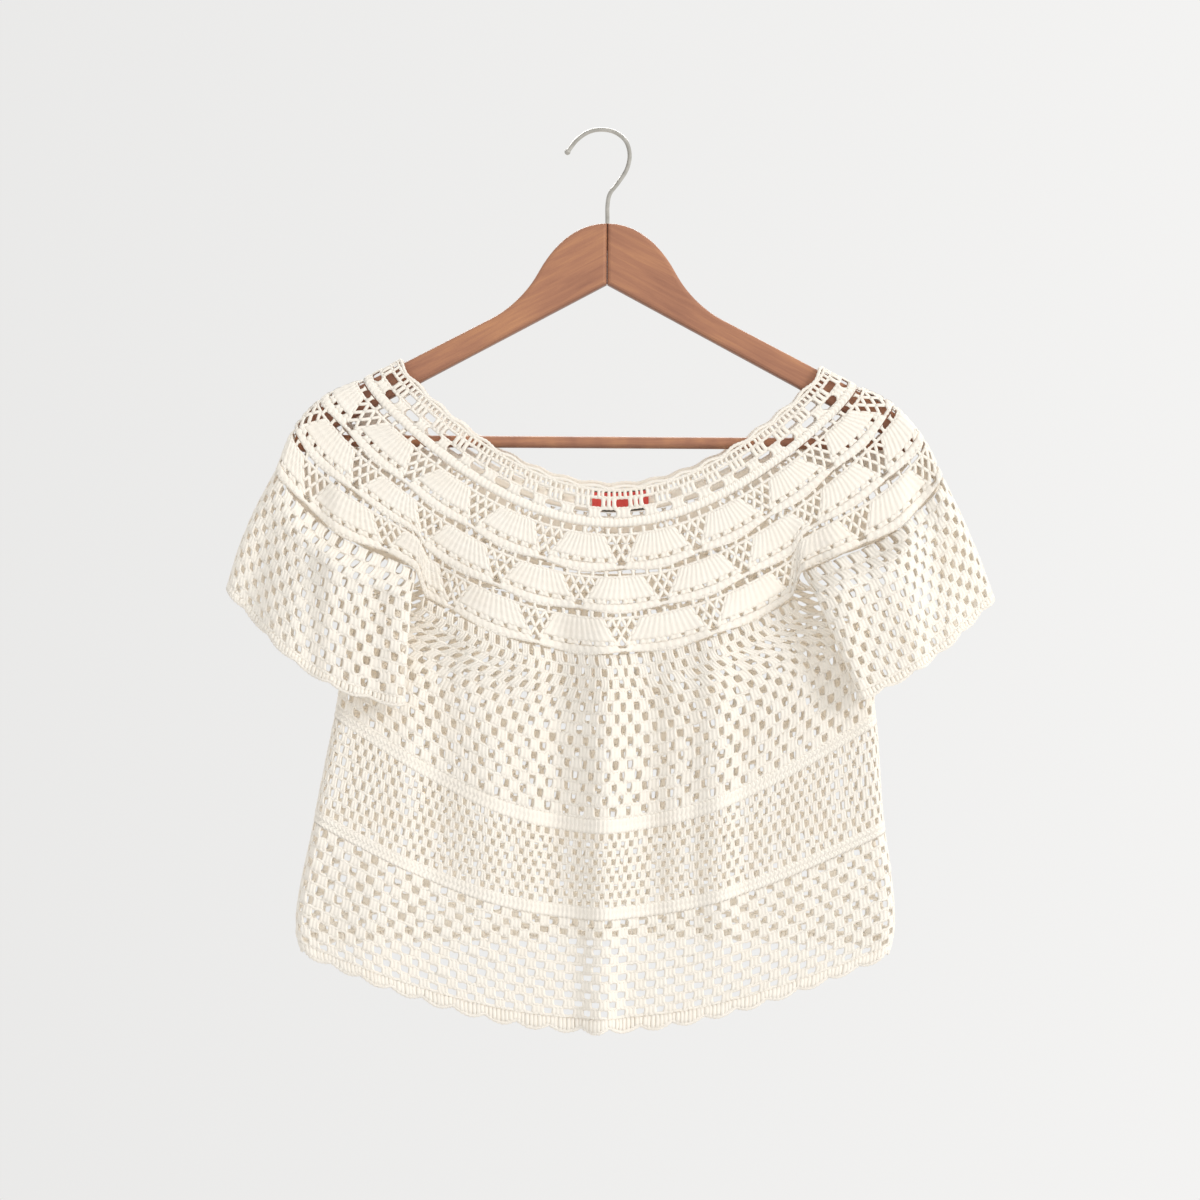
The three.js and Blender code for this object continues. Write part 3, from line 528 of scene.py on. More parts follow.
def chain(yarn, reach, radius, pitch, seed, wobble=0.0):
    """Chain stitches along a whole row: beads of one pitch. reach is one number, or a function
    of the share along the row."""
    middle = reach(np.float64(0.5)) if callable(reach) else reach
    beads = max(1, int(round(float(yarn.fabric.length(middle)) / pitch)))
    share = np.linspace(0, 1, beads * POINTS_PER_BEAD + 1)[None]
    draw = np.random.default_rng(seed)
    swell = np.cos(np.arange(share.shape[1]) * 2 * np.pi / POINTS_PER_BEAD)
    reaches = (reach(share) if callable(reach) else reach + 0 * share)
    reaches = reaches + draw.normal(0, wobble * UNEVEN_CHAIN, share.shape)
    size = radius * (1 + CHAIN_SWELL * 0.5 * swell)[None]
    lift = CHAIN_SWELL * swell[None] + draw.normal(0, wobble * UNEVEN_CHAIN_OUT, share.shape)
    yarn.tubes(share, reaches, lift, size * CHAIN_WIDE, CHAIN_SIDES, CHAIN_FLAT)


def centred(count):
    return np.arange(count) - (count - 1) / 2


def blocks(yarn, share, reach, width, thick, lobes, seed, wobble=0.0, flare=0.0):
    """Stitches grown together, from foot to head. share, reach and width are pairs, at the foot
    and at the head, and width is in millimetres. flare widens both ends, which rounds the holes
    between two blocks."""
    n = len(share[0])
    draw = np.random.default_rng(seed)
    t = np.linspace(0, 1, POST_POINTS)[None]
    size = 1 + wobble * draw.normal(0, UNEVEN_BLOCK, (n, 1))
    length = yarn.fabric.length_between(*reach)
    lean = draw.normal(0, wobble * UNEVEN_LEAN, (n, 1)) * np.sin(np.pi * t)
    s = mix(share[0][:, None], share[1][:, None], t) + lean / length
    sink = draw.normal(0, wobble * UNEVEN_SINK, (n, 1))
    r = np.broadcast_to(mix(reach[0], reach[1], t) + sink, s.shape)
    waist = BLOCK_WAIST[None] * (1 + flare * np.abs(2 * t - 1) ** 1.5)
    wide = np.broadcast_to(mix(width[0], width[1], t) * waist * size, s.shape)
    lift = POST_OUT[None] + draw.normal(0, wobble * UNEVEN_OUT, (n, 1))
    yarn.blocks(s, r, wide, lift, thick * POST_SHAPE[None] * size, lobes, np.zeros(s.shape))


def ribbed(yarn, share, reaches, widths, thick, lobes, rows, seed, out=0.0, bow=(0.0, 0.0), wobble=0.0):
    """Dense cloth of several rows in one piece: its ribs run from reach to reach, with a soft
    dip where one row meets the next. reaches and widths go down the cloth, evenly."""
    points = len(reaches)
    n = len(share)
    draw = np.random.default_rng(seed)
    t = np.linspace(0, 1, points)
    dip = np.abs(np.sin(np.pi * rows * t)) ** 0.5
    s = np.broadcast_to(share if share.ndim == 2 else share[:, None], (n, points))
    r = np.broadcast_to(reaches[None], (n, points))
    wide = np.broadcast_to(widths[None] * (0.985 + 0.015 * dip), (n, points))
    lift = out + ROW_DIP * (dip[None] - 0.5) + draw.normal(0, wobble * UNEVEN_ROWS, (n, 1))
    bows = mix(bow[0], bow[1], t)[None]
    deep = np.broadcast_to(thick * (0.9 + 0.1 * dip[None]), (n, points))
    yarn.blocks(s, r, wide, lift, deep, lobes, np.broadcast_to(bows, (n, points)))


def row_posts(yarn, top, end, clusters, phase, per_cluster, foot_pitch, head_pitch, radius, seed,
              wobble=1.0, flare=0.0):
    """One row of clusters from reach top to end. The pitches are in millimetres between the
    feet and between the heads of one cluster's stitches."""
    middles = (np.arange(-1, clusters + 2) + phase) / clusters
    on_edge = np.abs(middles).min() < EDGE_SHARE and per_cluster > 1
    middles = middles[(middles > EDGE_SHARE) & (middles < 1 - EDGE_SHARE)]
    side = 2 * radius * POST_WIDE
    width = ((per_cluster - 1) * foot_pitch + side, (per_cluster - 1) * head_pitch + side)
    thick = radius * THICKNESS
    if on_edge:
        # Half a cluster on this side of each side fold; the other half of the band has the rest.
        length = yarn.fabric.length_between(top, end)
        shares = [np.array([wide / 4 / length, 1 - wide / 4 / length]) for wide in width]
        blocks(yarn, shares, (top, end), [wide * HALF_CLUSTER for wide in width], thick,
               (per_cluster + 1) // 2, seed + 50, 0.0, flare)
    blocks(yarn, (middles, middles), (top, end), width, thick, per_cluster, seed, wobble, flare)


CLUSTER_FLARE, CLUSTER_CHAIN_PITCH = 0.14, 3.4


def granny(yarn, start, end, rows, clusters, radius, chain_radius, seed, foot=0.62, head=0.76):
    """Rows of three stitches in a space, staggered from row to row. foot and head are the
    shares of the pitch that a cluster fills."""
    height = (end - start) / rows
    for row in range(rows):
        top = start + row * height
        pitch = float(yarn.fabric.length(top)) / clusters
        between = [(share * pitch - 2 * radius * POST_WIDE) / 2 for share in (foot, head)]
        row_posts(yarn, top - ROW_LAP, top + height + ROW_LAP, clusters, 0.5 + 0.5 * (row % 2), 3,
                  *between, radius, seed + row, flare=CLUSTER_FLARE)
        chain(yarn, top + height, chain_radius, CLUSTER_CHAIN_PITCH, seed + 100 + row, 1.0)


def solid_rows(yarn, start, end, rows, pitch, radius, seed):
    """Rows of stitches that stand side by side."""
    reaches = np.linspace(start - ROW_LAP, end + ROW_LAP, POINTS_PER_ROW * rows + 1)
    length = yarn.fabric.length_between(start, end)
    ribbed(yarn, np.array([0.5]), reaches, yarn.fabric.length(reaches), radius * THICKNESS,
           int(round(length / pitch)), rows, seed)


PAIR_FOOT, PAIR_HEAD, PAIR_CHAIN_PITCH, PAIR_WOBBLE = 1.4, 2.6, 3.1, 0.6


def lattice(yarn, start, end, rows, pairs, radius, chain_radius, seed):
    """Fine mesh: pairs of stitches from one foot, so that the holes lean in turn."""
    height = (end - start) / rows
    for row in range(rows):
        top = start + row * height
        row_posts(yarn, top - ROW_LAP, top + height + ROW_LAP, pairs, 0.25 + 0.5 * (row % 2), 2,
                  PAIR_FOOT, PAIR_HEAD, radius, seed + row, PAIR_WOBBLE)
        chain(yarn, top + height, chain_radius, PAIR_CHAIN_PITCH, seed + 50 + row, PAIR_WOBBLE)


SCALLOP_PITCH, SCALLOP_CHAIN = 2.9, 0.85
# A scallop's depth in its dips, and what its crest adds, as shares of the whole depth.
SCALLOP_DIP, SCALLOP_CREST = 0.55, 0.45
# The edging's stitches start a little above their row and end a little above the chain.
SCALLOP_LAP = (-0.3, -0.4)


def scallops(yarn, reach, depth, count, radius, seed):
    """A shell edging: short stitches that fan out under a wavy chain."""
    def wave(share):
        return reach + depth * (SCALLOP_DIP + SCALLOP_CREST * np.abs(np.sin(np.pi * (share * count))))

    stitches = int(round(float(yarn.fabric.length(reach)) / SCALLOP_PITCH))
    foot = (np.arange(stitches) + 0.5) / stitches
    posts(yarn, (foot, foot), (np.full(stitches, reach), wave(foot)), SCALLOP_LAP, radius, seed, 0.8, 0.1)
    chain(yarn, wave, radius * SCALLOP_CHAIN, SCALLOP_PITCH, seed + 1, 0.5)


# ------------------------------------------------------------------ shells of the yoke

FANS, SHELL_STITCHES, ARCS_PER_FAN = 9, 11, 6
# Where the rows of a tier begin, as shares of its height, and half the width of the net there, in
# pitches of the net. The net has this many holes in each of its rows.
ARC_SHARE = 0.165
LEVELS = [ARC_SHARE, 0.38, 0.59, 0.785, 0.97]
NET_HALF = [2.1, 1.55, 1.0, 0.45, 0.0]
NET_HOLES = [4, 3, 2]
# The pitch of the net: at most this many millimetres, and else this share of a shell's pitch.
NET_WIDEST, NET_SHARE = 7.2, 0.13
EYELETS, EYELETS_PER_SHELL = (0.70, 0.79), 5
# The eyelets' row is this much narrower than the shell, and its bars than their pitch.
EYELET_INSET, BAR_FOOT, BAR_HEAD, EYELET_LAP = 1.3, 2.4, 0.5, 0.4
SHELL_YARN, SHELL_OUT, SHELL_LAP, SHELL_BOW, FOOT_RISE = 1.38, 0.1, 0.4, 0.05, 0.03
ARC_YARN, BAR_YARN, NET_YARN, FOOT_YARN = 0.95, 1.3, 0.95, 1.15
ARC_GAP, ARC_FLARE, TIER_WOBBLE = 0.2, 0.6, 0.4


class Tier:
    """A ring of dense shells with triangles of net between them, under a row of arcs."""

    def __init__(self, yarn, start, end, phase, seed):
        self.yarn, self.start, self.end, self.phase, self.seed = yarn, start, end, phase, seed
        self.height = end - start
        self.length = yarn.fabric.length_between(start, end)
        self.pitch = self.length / FANS
        self.net_pitch = min(NET_WIDEST, self.pitch * NET_SHARE)
        self.bow = SHELL_BOW * self.height
        self.middles = (np.arange(-1, FANS + 2) + phase) / FANS
        half = 0.5 * EDGE_SHARE
        self.inside = self.middles[(self.middles > half) & (self.middles < 1 - half)]

    def reach(self, level):
        return self.start + level * self.height

    def work(self):
        row_posts(self.yarn, self.start + ARC_GAP, self.reach(ARC_SHARE), FANS * ARCS_PER_FAN, 0.0, 1, 0, 0,
                  ARC_YARN, self.seed, flare=ARC_FLARE)
        self.shells(LEVELS[0], EYELETS[0], 3)
        self.shells(EYELETS[1], LEVELS[-1], 1)
        self.eyelets()
        self.net()
        chain(self.yarn, self.reach(ARC_SHARE), ARC_YARN, 3.2, self.seed + 40, TIER_WOBBLE)
        chain(self.yarn, self.wave, FOOT_YARN, 3.0, self.seed + 41, TIER_WOBBLE)

    def shells(self, low, high, rows):
        """Rows of every shell, and what the shells of the band's other half bring over the side
        folds."""
        down = np.linspace(low, high, POINTS_PER_ROW * rows + 1)
        net = np.interp(down, LEVELS, NET_HALF)
        widths = self.pitch - 2 * net * self.net_pitch + SHELL_LAP
        ribbed(self.yarn, self.inside, self.reach(down), widths, SHELL_YARN * THICKNESS, SHELL_STITCHES,
               rows, self.seed + 10, SHELL_OUT, (self.bow * low, self.bow * high), 0.8)
        for edge, inward in ((0.0, 1), (1.0, -1)):
            beyond = (edge - self.middles) * inward
            for gap in beyond[(beyond > 0.5 * EDGE_SHARE) & (beyond < 0.5 / FANS)]:
                wide = np.maximum(self.pitch / 2 - net * self.net_pitch - gap * self.length, 0.3)
                stitches = max(2, int(round(wide.max() / self.pitch * SHELL_STITCHES)))
                ribbed(self.yarn, (edge + inward * wide / 2 / self.length)[None], self.reach(down), wide,
                       SHELL_YARN * THICKNESS, stitches, rows, self.seed + 11, SHELL_OUT)

    def eyelets(self):
        """The bars between the eyelets near the foot of each shell."""
        bars = EYELETS_PER_SHELL + 1
        half = self.pitch / 2 - np.interp(EYELETS[0], LEVELS, NET_HALF) * self.net_pitch
        spread = centred(bars) / (bars - 1) * 2
        row = (self.inside[:, None] + spread[None] * (half - EYELET_INSET) / self.length).ravel()
        row = row[(row > EDGE_SHARE) & (row < 1 - EDGE_SHARE)]
        sag = self.bow * EYELETS[0] * (1 - np.abs(spread) ** 2).mean()
        pitch = 2 * (half - EYELET_INSET) / (bars - 1)
        ends = (self.reach(EYELETS[0]) - EYELET_LAP + sag, self.reach(EYELETS[1]) + EYELET_LAP + sag)
        blocks(self.yarn, (row, row), ends, (pitch - BAR_FOOT, pitch - BAR_HEAD), BAR_YARN * THICKNESS, 2,
               self.seed + 14, 0.5)

    def net(self):
        """Leaning stitches between the shells, in rows that narrow to a point."""
        middles = (np.arange(-1, FANS + 2) + self.phase + 0.5) / FANS
        for k, holes in enumerate(NET_HOLES):
            corner = middles[:, None] + centred(holes + 1)[None] * self.net_pitch / self.length
            dip = middles[:, None] + centred(holes)[None] * self.net_pitch / self.length
            for foot, head in ((corner[:, :-1], dip), (corner[:, 1:], dip)):
                foot, head = foot.ravel(), head.ravel()
                kept = np.minimum(foot, head) > EDGE_SHARE
                kept &= np.maximum(foot, head) < 1 - EDGE_SHARE
                rows = [np.full(kept.sum(), self.reach(level)) for level in LEVELS[k:k + 2]]
                posts(self.yarn, (foot[kept], head[kept]), rows, (0, 0), NET_YARN, self.seed + 30 + k, 0.5)

    def wave(self, share):
        """The reach of the chain that goes round the shells' feet."""
        turn = 2 * np.pi * (share * FANS - self.phase)
        return self.end - FOOT_RISE * self.height + SHELL_BOW * self.height * np.cos(turn)


# ------------------------------------------------------------------ bands

pieces = {}


def add_band(node, yarn):
    """The stitches that take the place of a band's plain wall."""
    name = "crochet_" + node
    pieces[node] = add_piece(name, yarn.mesh(name), node)


def add_sheet(node, yarn):
    """A band, made as add_band makes it."""
    add_band(node, yarn)


# The reaches from which and to which each band goes.
NECK_EDGING, NECKBAND, YOKE = (0, 3.5), (3.5, 29), (29, 118.5)
UPPER_BODY, WAIST, HEM_PANEL, HEM_EDGING = (118.5, 232.5), (232.5, 302.5), (302.5, 370.5), (370.5, 382.5)
# The same for the rows inside them.
SLITS, NECK_EYELETS, NECK_BARS, NECK_SOLID = (3.0, 8.6), (8.4, 15.9), (15.9, 23.0), (22.9, 28.5)
TIERS = [(29.5, 59.5), (59.5, 88.0), (88.0, 117.5)]
UPPER_ROWS, HEM_ROWS = (118.8, 232.0), (302.8, 370.2)
WAIST_TOP, WAIST_MESH, WAIST_FOOT = (232.8, 242.5), (242.5, 294), (294, 302)

SLIT_PITCH, EYELETS_AROUND, EYELET_SPREAD = 3.8, 21, (-0.2, 0, 0.2)
EDGE_SCALLOPS, HEM_SCALLOPS, CUFF_SCALLOPS = 18, 21, 6
NECK_CHAIN_PITCH, NECK_FLARE = 3.0, 0.5
FAN_PHASE = 0.18
UPPER_CLUSTERS, HEM_CLUSTERS, SLEEVE_CLUSTERS = {"front": 36, "back": 34}, 35, 13
WAIST_PAIRS = {"front": 66, "back": 60}
# The two halves of the garment: the name, whether it is the front, and where its seeds start.
HALVES = (("front", True, 0), ("back", False, 1000))


def neck_bands(side, front, seed):
    yarn = Yarn(yoke_point, *NECK_EDGING, front)
    chain(yarn, lambda s: 1.0 + 0.9 * np.cos(2 * np.pi * EDGE_SCALLOPS * s), 1.05, NECK_CHAIN_PITCH, seed + 1)
    chain(yarn, 3.0, 0.95, NECK_CHAIN_PITCH, seed + 2)
    add_band("neck_edging_" + side, yarn)

    yarn = Yarn(yoke_point, *NECKBAND, front)
    slits = int(round(float(yarn.fabric.length(5.5)) / SLIT_PITCH))
    row_posts(yarn, *SLITS, slits, 0.5, 1, 0, 0, 1.0, seed + 10)
    chain(yarn, NECK_EYELETS[0], 0.95, NECK_CHAIN_PITCH, seed + 11)
    for step in EYELET_SPREAD:
        row_posts(yarn, *NECK_EYELETS, EYELETS_AROUND, 0.5 + step, 1, 0, 0, 1.15, seed + 12, flare=NECK_FLARE)
    chain(yarn, NECK_EYELETS[1], 0.95, NECK_CHAIN_PITCH, seed + 13)
    row_posts(yarn, *NECK_BARS, EYELETS_AROUND, 0.0, 3, 2.6, 2.8, 1.25, seed + 14, flare=NECK_FLARE)
    solid_rows(yarn, *NECK_SOLID, 1, 3.3, 1.3, seed + 16)
    add_sheet("neckband_" + side, yarn)


def yoke_band(side, front, seed):
    yarn = Yarn(yoke_point, *YOKE, front)
    for k, (start, end) in enumerate(TIERS):
        phase = (FAN_PHASE if front else 1 - FAN_PHASE) + 0.5 * (k % 2)
        Tier(yarn, start, end, phase, seed + 100 * (k + 1)).work()
    add_sheet("yoke_" + side, yarn)


def body_bands(side, front, seed):
    yarn = Yarn(body_point, *UPPER_BODY, front)
    granny(yarn, *UPPER_ROWS, 14, UPPER_CLUSTERS[side], 1.2, 1.0, seed + 400)
    add_sheet("upper_body_" + side, yarn)

    yarn = Yarn(body_point, *WAIST, front)
    solid_rows(yarn, *WAIST_TOP, 2, 3.2, 1.35, seed + 500)
    lattice(yarn, *WAIST_MESH, 9, WAIST_PAIRS[side], 1.0, 0.88, seed + 520)
    solid_rows(yarn, *WAIST_FOOT, 2, 3.2, 1.35, seed + 560)
    add_sheet("waist_" + side, yarn)

    yarn = Yarn(body_point, *HEM_PANEL, front)
    granny(yarn, *HEM_ROWS, 11, HEM_CLUSTERS, 1.2, 1.0, seed + 600, 0.55, 0.66)
    add_sheet("hem_panel_" + side, yarn)

    yarn = Yarn(body_point, *HEM_EDGING, front)
    scallops(yarn, HEM_EDGING[0] + 1.0, 9.0, HEM_SCALLOPS, 1.35, seed + 700)
    add_sheet("hem_edging_" + side, yarn)


def sleeve_bands(name, side, front, seed):
    def surface(u, reach, front):
        return sleeve_point(SLEEVES[name], u, reach / SLEEVE_LENGTH, front)

    cuff = SLEEVE_LENGTH - SLEEVE_EDGING
    yarn = Yarn(surface, cuff, SLEEVE_LENGTH, front)
    scallops(yarn, cuff + 0.8, 5.2, CUFF_SCALLOPS, 1.25, seed + 900)
    add_band(f"{name}_cuff_edging_{side}", yarn)
    yarn = Yarn(surface, SLEEVE_GAP, cuff, front)
    granny(yarn, 1.2, cuff, 12, SLEEVE_CLUSTERS, 1.15, 0.95, seed + 800)
    add_sheet(f"{name}_sleeve_{side}", yarn)


for half in HALVES:
    neck_bands(*half)
    yoke_band(*half)
    body_bands(*half)
for name in SLEEVES:
    for half in HALVES:
        sleeve_bands(name, *half)

# ------------------------------------------------------------------ label

LABEL_X, LABEL_REACH = (-7.0, 33.0), (8.0, 28.0)
LABEL_OUT = -1.8
RIBBON_HALF, RIBBON_WAVE = 0.25, 0.12
# The folded ends: their share of the length, how quickly they thicken and by how much.
RIBBON_FOLD, FOLD_RISE, FOLD_EXTRA = 0.06, 60, 0.8
RIBBON_GRID, SHARES_TRIED = (60, 24), 2001
# The border begins this far from the ribbon's middle line, as a share of its width.
RIBBON_BORDER = 0.41


def ribbon(name):
    """A bare ribbon inside the back neckband, with its two ends folded under."""
    fabric = Fabric(yoke_point, LABEL_REACH[0] - 1, LABEL_REACH[1] + 1, False)
    columns, rows = RIBBON_GRID
    u = np.linspace(0, 1, columns + 1)
    v = np.linspace(0, 1, rows + 1)
    across, down = np.meshgrid(u, v, indexing="ij")
    reach = LABEL_REACH[0] + (LABEL_REACH[1] - LABEL_REACH[0]) * down
    shares = np.linspace(0, 1, SHARES_TRIED)
    share = np.empty_like(across)
    for k in range(rows + 1):
        x = fabric.at(shares, np.full(shares.shape, reach[0, k]), np.zeros(shares.shape))[0][:, 0]
        share[:, k] = np.interp(LABEL_X[0] + (LABEL_X[1] - LABEL_X[0]) * u, x, shares)
    end = np.minimum(across, 1 - across)
    thick = RIBBON_HALF * (1 + np.clip((RIBBON_FOLD - end) * FOLD_RISE, 0, FOLD_EXTRA))
    wave = RIBBON_WAVE * np.sin(across * 9) * np.sin(down * 5)
    near, _ = fabric.at(share, reach, LABEL_OUT + wave - thick)
    far, _ = fabric.at(share, reach, LABEL_OUT + wave + thick)
    count = (columns + 1) * (rows + 1)
    index = np.arange(count).reshape(columns + 1, rows + 1)
    sheet = np.stack([index[:-1, :-1], index[1:, :-1], index[1:, 1:], index[:-1, 1:]], -1).reshape(-1, 4)
    ring = np.concatenate([index[:-1, 0], index[-1, :-1], index[:0:-1, -1], index[0, :0:-1]])
    following = np.roll(ring, -1)
    rim = np.stack([following, ring, ring + count, following + count], -1)
    vertices = np.concatenate([near.reshape(-1, 3), far.reshape(-1, 3)]) * MM
    faces = np.concatenate([sheet, sheet[:, ::-1] + count, rim])
    mesh = bpy.data.meshes.new(name)
    mesh.from_pydata(vertices.tolist(), [], faces.tolist())
    place = np.concatenate([np.stack([across, down], -1).reshape(-1, 2)] * 2)
    layer = mesh.uv_layers.new(name="ribbon")
    corners = np.empty(len(mesh.loops), int)
    mesh.loops.foreach_get("vertex_index", corners)
    layer.data.foreach_set("uv", place[corners].ravel())
    mesh.update()
    mesh.validate()
    return mesh


label = add_piece("label_ribbon", ribbon("label_ribbon"), "neck_label")

# ------------------------------------------------------------------ glue line

GLUE_WIDTH = 0.28
GLUE_BEHIND_FACE, GLUE_BELOW_TOP = 2.2, 0.5
STEM_CLEAR, STEM_END_Z, NOTCH_Z = 1.9, -85.4, -107.0
HANGER_TILT = math.radians(0.35)


def glue_line():
    """The glue in the joint between the two arms: a strip before and one behind the hook's stem,
    and a bridge under the stem."""
    _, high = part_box("hanger_arm_right")
    left_low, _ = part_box("hanger_arm_left")
    middle_x = float(high.x + left_low.x) / 2 / MM
    face, top = float(high.y) / MM - GLUE_BEHIND_FACE, float(high.z) / MM - GLUE_BELOW_TOP

    def corner(x, y, z):
        """The joint leans with the hanger, which hangs a little lower at plus X."""
        return ((middle_x + x + math.tan(HANGER_TILT) * (z - (top + NOTCH_Z) / 2)) * MM, y * MM, z * MM)

    boxes = [((-face, top), (-STEM_CLEAR, NOTCH_Z)), ((STEM_CLEAR, top), (face, NOTCH_Z)),
             ((-STEM_CLEAR, STEM_END_Z), (STEM_CLEAR, NOTCH_Z))]
    vertices, faces = [], []
    for (y0, z1), (y1, z0) in boxes:
        base = len(vertices)
        for x in (-GLUE_WIDTH / 2, GLUE_WIDTH / 2):
            vertices += [corner(x, y0, z0), corner(x, y1, z0), corner(x, y1, z1), corner(x, y0, z1)]
        faces += [tuple(base + k for k in ring) for ring in
                  ((0, 3, 2, 1), (4, 5, 6, 7), (0, 1, 5, 4), (1, 2, 6, 5), (2, 3, 7, 6), (3, 0, 4, 7))]
    mesh = bpy.data.meshes.new("glue_line")
    mesh.from_pydata(vertices, [], faces)
    mesh.validate()
    return mesh


glue = add_piece("glue_line", glue_line())

# ------------------------------------------------------------------ materials

def new_material(name):
    """A material, its node tree and its Principled shader."""
    material = bpy.data.materials.new(name)
    material.use_nodes = True
    return material, material.node_tree, material.node_tree.nodes["Principled BSDF"]


def math_node(tree, operation, first, second=0.0, third=0.0):
    node = tree.nodes.new("ShaderNodeMath")
    node.operation = operation
    for socket, value in zip(node.inputs, (first, second, third)):
        if isinstance(value, bpy.types.NodeSocket):
            tree.links.new(value, socket)
        else:
            socket.default_value = value
    return node.outputs[0]


def object_place(tree, turn_y=0.0, stretch=(1, 1, 1)):
    """The place on the object, turned about its y axis and then stretched."""
    coordinates = tree.nodes.new("ShaderNodeTexCoord")
    turned = tree.nodes.new("ShaderNodeMapping")
    turned.inputs["Rotation"].default_value = (0, turn_y, 0)
    tree.links.new(coordinates.outputs["Object"], turned.inputs["Vector"])
    stretched = tree.nodes.new("ShaderNodeMapping")
    stretched.inputs["Scale"].default_value = stretch
    tree.links.new(turned.outputs["Vector"], stretched.inputs["Vector"])
    return stretched.outputs["Vector"]


def noise(tree, place, scale, detail=2.0, roughness=0.5, distortion=0.0):
    node = tree.nodes.new("ShaderNodeTexNoise")
    node.inputs["Scale"].default_value = scale
    node.inputs["Detail"].default_value = detail
    node.inputs["Roughness"].default_value = roughness
    node.inputs["Distortion"].default_value = distortion
    tree.links.new(place, node.inputs["Vector"])
    return node.outputs["Fac"]


def color_ramp(tree, factor, stops):
    node = tree.nodes.new("ShaderNodeValToRGB")
    ramp = node.color_ramp
    while len(ramp.elements) < len(stops):
        ramp.elements.new(0.5)
    for element, (position, color) in zip(ramp.elements, stops):
        element.position = position
        element.color = (*color, 1)
    tree.links.new(factor, node.inputs["Fac"])
    return node.outputs["Color"]


def uv_parts(tree, layer):
    """The two parts of a place in a UV layer."""
    uv = tree.nodes.new("ShaderNodeUVMap")
    uv.uv_map = layer
    split = tree.nodes.new("ShaderNodeSeparateXYZ")
    tree.links.new(uv.outputs["UV"], split.inputs[0])
    return split.outputs["X"], split.outputs["Y"]


def blend(tree, factor, first, second):
    """The colour first, and the plain colour second where factor is 1."""
    node = tree.nodes.new("ShaderNodeMix")
    node.data_type = "RGBA"
    tree.links.new(factor, node.inputs["Factor"])
    tree.links.new(first, node.inputs["A"])
    node.inputs["B"].default_value = (*second, 1)
    return node.outputs["Result"]


def bump(tree, shader, height, strength, distance):
    node = tree.nodes.new("ShaderNodeBump")
    node.inputs["Strength"].default_value = strength
    node.inputs["Distance"].default_value = distance
    tree.links.new(height, node.inputs["Height"])
    tree.links.new(node.outputs["Normal"], shader.inputs["Normal"])


TWIST_PER_MM, PLIES = 0.62, 2
COTTON_DEEP, COTTON_PALE = (0.994, 0.934, 0.842), (0.999, 0.95, 0.868)


def cotton_material():
    """Matt two-ply cotton with a twist, loose fibres and a faint change of tone from place to
    place."""
    material, tree, shader = new_material("cotton")
    shader.inputs["Roughness"].default_value = 0.85
    shader.inputs["Specular IOR Level"].default_value = 0.08
    shader.inputs["Sheen Weight"].default_value = 0.1
    shader.inputs["Sheen Roughness"].default_value = 0.5
    place = object_place(tree)
    tone = noise(tree, place, 55.0, 2.0)
    tree.links.new(color_ramp(tree, tone, [(0.3, COTTON_DEEP), (0.7, COTTON_PALE)]),
                   shader.inputs["Base Color"])
    turn, along = uv_parts(tree, "yarn")
    twist = math_node(tree, "MULTIPLY_ADD", along, TWIST_PER_MM, turn)
    ridges = math_node(tree, "SINE", math_node(tree, "MULTIPLY", twist, 2 * math.pi * PLIES))
    fibres = noise(tree, place, 1600.0, 3.0, 0.7)
    bump(tree, shader, math_node(tree, "MULTIPLY_ADD", fibres, 1.6, ridges), 0.5, 0.0003)
    return material


WOOD_DARK, WOOD_MIDDLE, WOOD_LIGHT = (0.285, 0.122, 0.074), (0.38, 0.170, 0.096), (0.48, 0.226, 0.113)
# The dark brown painted as shade on the wood's faces that look down.
WOOD_PAINTED_SHADE = (0.08, 0.04, 0.03)


def wood_material(name, grain_slope, mottles):
    """Lacquered brown wood with its grain in the xz plane, at grain_slope from level, and painted shade
    darkening the faces that look down.
    """
    material, tree, shader = new_material(name)
    grain = object_place(tree, grain_slope, (7, 60, 95))
    streaks = noise(tree, grain, 3.2, 5.0, 0.62, 0.5)
    pores = noise(tree, object_place(tree, grain_slope, (60, 900, 1500)), 1.0, 2.0, 0.6)
    broad = noise(tree, object_place(tree, grain_slope, mottles), 1.0, 2.0, 0.5)
    tone = math_node(tree, "MULTIPLY_ADD", streaks, 0.55, math_node(tree, "MULTIPLY", broad, 0.55))
    tone = math_node(tree, "MULTIPLY_ADD", pores, 0.12, math_node(tree, "SUBTRACT", tone, 0.10))
    stained = color_ramp(tree, tone, [(0.30, WOOD_DARK), (0.5, WOOD_MIDDLE), (0.68, WOOD_LIGHT)])
    # Painted shade: the faces that look down are darkened towards a dark brown, as shadow would fall on them.
    normal = tree.nodes.new("ShaderNodeSeparateXYZ")
    geometry = tree.nodes.new("ShaderNodeNewGeometry")
    tree.links.new(geometry.outputs["Normal"], normal.inputs[0])
    down = math_node(tree, "MULTIPLY", normal.outputs["Z"], -1.0)
    down = math_node(tree, "MULTIPLY", math_node(tree, "MAXIMUM", down, 0.0), 0.6)
    tree.links.new(blend(tree, down, stained, WOOD_PAINTED_SHADE), shader.inputs["Base Color"])
    shader.inputs["Specular IOR Level"].default_value = 0.4
    rough = math_node(tree, "MULTIPLY_ADD", streaks, 0.25, 0.32)
    tree.links.new(rough, shader.inputs["Roughness"])
    bump(tree, shader, math_node(tree, "ADD", streaks, pores), 0.25, 0.0002)
    return material


def glue_material():
    """Dried brown wood glue, darker in places."""
    material, tree, shader = new_material("wood_glue")
    patches = noise(tree, object_place(tree), 180.0)
    tree.links.new(color_ramp(tree, patches, [(0.3, (0.13, 0.06, 0.04)), (0.7, (0.20, 0.09, 0.055))]),
                   shader.inputs["Base Color"])
    shader.inputs["Roughness"].default_value = 0.6
    return material


